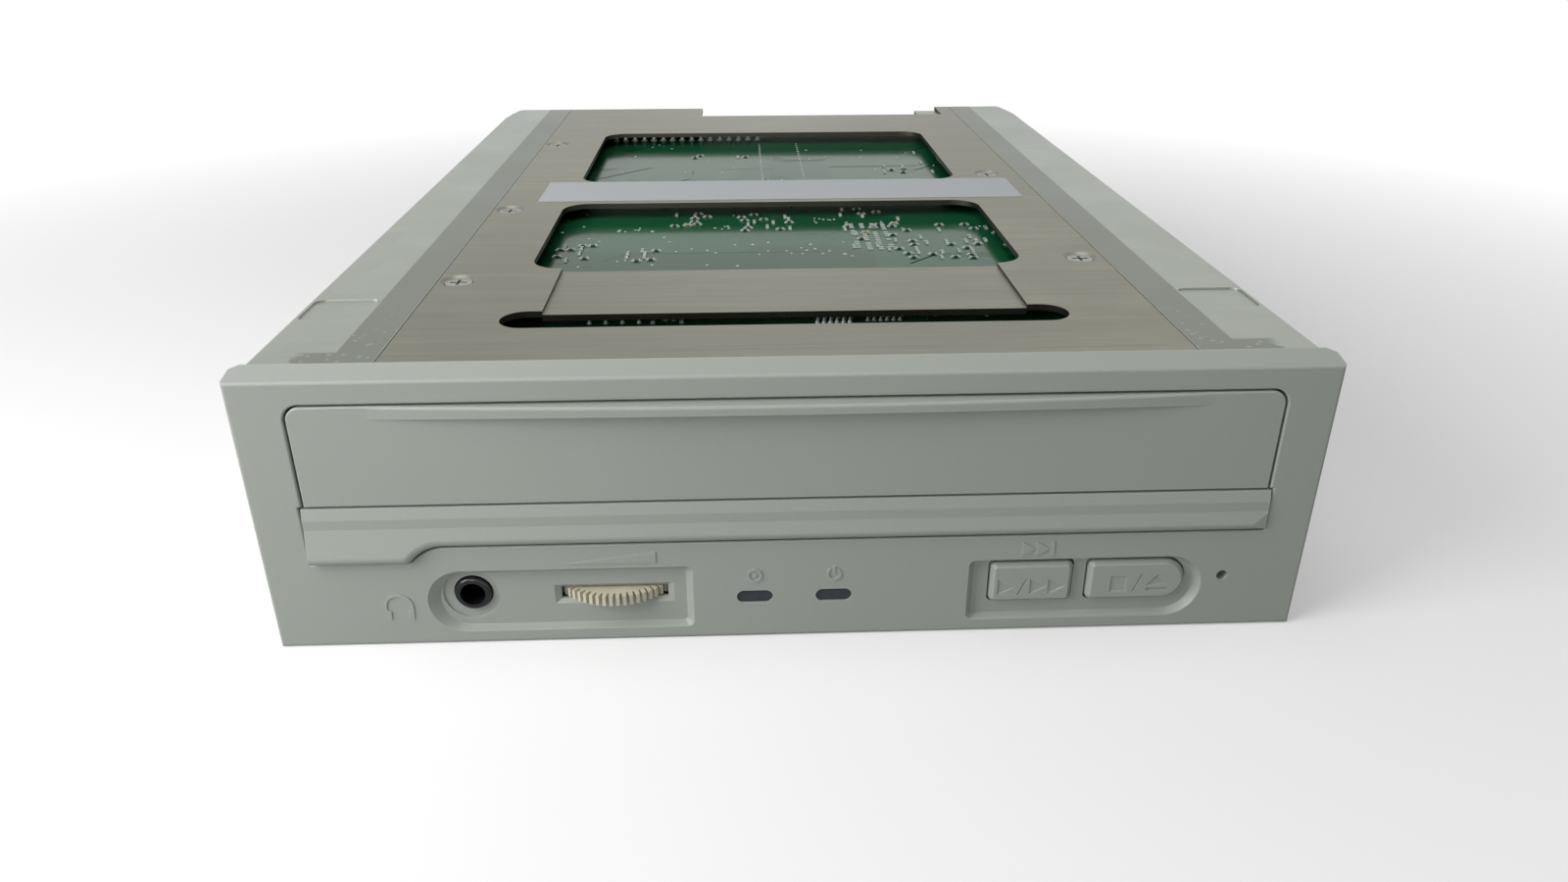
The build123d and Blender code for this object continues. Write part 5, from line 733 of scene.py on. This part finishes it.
# the copper under the mask: tracks that run along the board and turn at 45 degrees
tracks = bmesh.new()
TRACK_WIDTH, TRACK_SPACING, TRACK_THICKNESS, TRACK_SUNK = 0.3, 0.7, 0.03, 0.01
BOARD_SIDE, BOARD_FRONT, BOARD_BACK = 64, 25.5, 200
START_SIDE, START_FRONT, START_BACK = 62, 26, 198
TRACK_STARTS = 120
RUN_LENGTHS = (4, 16)
SHARPEST_TURN = 0.3
for _ in range(TRACK_STARTS):
    x, y = chance.uniform(-START_SIDE, START_SIDE), chance.uniform(START_FRONT, START_BACK)
    points = [(x, y)]
    for _ in range(chance.randint(2, 4)):
        way = chance.choice((0, 90, 180, 270)) + chance.choice((0, 0, 45))
        run = chance.uniform(*RUN_LENGTHS)
        x += run * math.cos(math.radians(way))
        y += run * math.sin(math.radians(way))
        if abs(x) > BOARD_SIDE or not BOARD_FRONT < y < BOARD_BACK:
            break
        last = points[-1]
        if len(points) > 1:
            ahead = (x - last[0], y - last[1])
            behind = (last[0] - points[-2][0], last[1] - points[-2][1])
            along = ahead[0] * behind[0] + ahead[1] * behind[1]
            if along < SHARPEST_TURN * math.hypot(*ahead) * math.hypot(*behind):
                x, y = last
                continue
        points.append((x, y))
    if len(points) > 1:
        for shift in range(chance.choice((1, 1, 3, 4))):
            moved = [(a + shift * TRACK_SPACING, b + shift * TRACK_SPACING) for a, b in points]
            track(tracks, moved, TRACK_WIDTH, BOARD_TOP - TRACK_SUNK, TRACK_THICKNESS)

# masked copper: the same gloss as the board, a lighter green where the copper lies under the mask
copper, tree, place, shader = material("masked_copper_track")
tone = add(tree, "TexNoise", {"Scale": 1000 / 9, "Detail": 2.0}, {"Vector": place})
shade = add(tree, "Mix", {"data_type": "RGBA", 6: linear("1B5F38"), 7: linear("154F30")},
            {0: tone.outputs["Fac"]})
tree.links.new(shade.outputs[2], shader.inputs["Base Color"])
rough = add(tree, "MapRange", {"To Min": 0.1, "To Max": 0.2}, {"Value": tone.outputs["Fac"]})
tree.links.new(rough.outputs[0], shader.inputs["Roughness"])
shader.inputs["IOR"].default_value = 1.235
# chip resistors: a black glaze on white alumina; chip capacitors: tan ceramic
glaze, tree, place, shader = material("glazed_resistor")
wear = add(tree, "TexNoise", {"Scale": 1000 / 0.5, "Detail": 2.0}, {"Vector": place})
shade = add(tree, "Mix", {"data_type": "RGBA", 6: linear("1F1F21"), 7: linear("39393B")},
            {0: wear.outputs["Fac"]})
tree.links.new(shade.outputs[2], shader.inputs["Base Color"])
shader.inputs["Roughness"].default_value = 0.3
ceramic, tree, place, shader = material("fired_tan_ceramic")
wear = add(tree, "TexNoise", {"Scale": 1000 / 0.5, "Detail": 2.0}, {"Vector": place})
shade = add(tree, "Mix", {"data_type": "RGBA", 6: linear("B39A76"), 7: linear("9C8362")},
            {0: wear.outputs["Fac"]})
tree.links.new(shade.outputs[2], shader.inputs["Base Color"])
shader.inputs["Roughness"].default_value = 0.5
# solder: a soft grey metal, rippled where it froze and half dulled by a film of flux
solder, tree, place, shader = material("frozen_solder")
ripple = add(tree, "TexNoise", {"Scale": 1000 / 0.6, "Detail": 2.0}, {"Vector": place})
shade = add(tree, "Mix", {"data_type": "RGBA", 6: linear("B9C0BC"), 7: linear("9FA8A3")},
            {0: ripple.outputs["Fac"]})
tree.links.new(shade.outputs[2], shader.inputs["Base Color"])
shader.inputs["Metallic"].default_value = 0.25
rough = add(tree, "MapRange", {"To Min": 0.38, "To Max": 0.6}, {"Value": ripple.outputs["Fac"]})
tree.links.new(rough.outputs[0], shader.inputs["Roughness"])
relief = add(tree, "Bump", {"Strength": 0.2, "Distance": 0.00005}, {"Height": ripple.outputs["Fac"]})
tree.links.new(relief.outputs[0], shader.inputs["Normal"])
for name, shape, made, slot in (("board_tracks", tracks, copper, "circuit_board"),
                                ("chip_resistors", bodies, glaze, "chip_black"),
                                ("chip_capacitors", caps, ceramic, "chip_black"),
                                ("chip_end_caps", ends, solder, "tinned_pin"),
                                ("solder_pads", dabs, solder, "tinned_pin"),
                                ("solder_joints", joints, solder, "tinned_pin"),
                                ("chip_tails", tails, compound, "tinned_pin")):
    piece(name, shape, made, "drive_frame")


# The studio: a plain pale floor that keeps the drive's shadow and fades to white around it, three
# soft lamps and a white surround. None of it belongs to the drive.
floor_material, tree, place, shader = material("white_paper_floor")
ray = add(tree, "LightPath", {})
paper = add(tree, "Mix", {"data_type": "RGBA", 6: linear("B4B4B4"), 7: linear("F6F6F6")},
            {0: ray.outputs["Is Camera Ray"]})
tree.links.new(paper.outputs[2], shader.inputs["Base Color"])
shader.inputs["Roughness"].default_value = 0.9
shader.inputs["Specular IOR Level"].default_value = 0.0
glow = add(tree, "Emission", {"Color": (1.0, 1.0, 1.0, 1.0), "Strength": 1.0})
away = add(tree, "VectorMath", {"operation": "LENGTH"}, {0: place})
fade = add(tree, "MapRange", {"From Min": 0.10, "From Max": 0.34, "To Min": 0.15},
           {"Value": away.outputs["Value"]})
seen = add(tree, "Math", {"operation": "MULTIPLY"}, {0: fade.outputs[0], 1: ray.outputs["Is Camera Ray"]})
both = add(tree, "MixShader", {}, {0: seen.outputs[0], 1: shader.outputs[0], 2: glow.outputs[0]})
surface = next(n for n in tree.nodes if n.type == "OUTPUT_MATERIAL")
tree.links.new(both.outputs[0], surface.inputs["Surface"])
FLOOR_HALF = 3.0
FLOOR_GAP = 0.1 * MM
spread = bmesh.new()
spread.faces.new([spread.verts.new((x * FLOOR_HALF, y * FLOOR_HALF, -FLOOR_GAP))
                  for x, y in ((-1, -1), (1, -1), (1, 1), (-1, 1))])
mesh = bpy.data.meshes.new("studio_floor")
spread.to_mesh(mesh)
spread.free()
mesh.materials.append(floor_material)
floor = bpy.data.objects.new("studio_floor", mesh)
bpy.context.scene.collection.objects.link(floor)

world = bpy.data.worlds.new("white_studio")
bpy.context.scene.world = world
world.use_nodes = True
tree = world.node_tree
tree.nodes.clear()
room = add(tree, "Background", {"Color": (1.0, 1.0, 1.0, 1.0), "Strength": 0.16})
white = add(tree, "Background", {"Color": (1.0, 1.0, 1.0, 1.0), "Strength": 1.0})
ray = add(tree, "LightPath", {})
first = add(tree, "Math", {"operation": "MAXIMUM"},
            {0: ray.outputs["Is Camera Ray"], 1: ray.outputs["Is Glossy Ray"]})
either = add(tree, "Math", {"operation": "MAXIMUM"},
             {0: first.outputs[0], 1: ray.outputs["Is Transmission Ray"]})
both = add(tree, "MixShader", {}, {0: either.outputs[0], 1: room.outputs[0], 2: white.outputs[0]})
out = add(tree, "OutputWorld", {})
tree.links.new(both.outputs[0], out.inputs["Surface"])

# each lamp: its place and side in metres and its power in watts; all of them aim at the drive
for name, spot, size, power in (("soft_lamp_left", (-0.281, -0.225, 0.19), 0.2, 1.04),
                                ("soft_lamp_front", (-0.16, -0.6, 0.2), 0.12, 0.42),
                                ("soft_lamp_overhead", (-0.16, -0.2, 1.0), 0.8, 3.7)):
    lamp = bpy.data.lights.new(name, "AREA")
    lamp.shape = "SQUARE"
    lamp.size = size
    lamp.energy = power
    stand = bpy.data.objects.new(name, lamp)
    bpy.context.scene.collection.objects.link(stand)
    stand.location = spot
    stand.rotation_euler = (-Vector(spot)).to_track_quat("-Z", "Y").to_euler()

# The camera: where the photograph was taken from, close in front of the bezel, above it and a little
# to the left of its middle.
view = bpy.data.cameras.new("photo_view")
view.sensor_width = 36.0
view.lens = 25.60
view.clip_start = 0.01
camera = bpy.data.objects.new("photo_view", view)
bpy.context.scene.collection.objects.link(camera)
camera.location = (-0.00642, -0.236695, 0.09734)
camera.rotation_euler = (math.radians(64.15), math.radians(0.083), math.radians(-2.246))
bpy.context.scene.camera = camera
bpy.context.scene.view_settings.view_transform = "Standard"
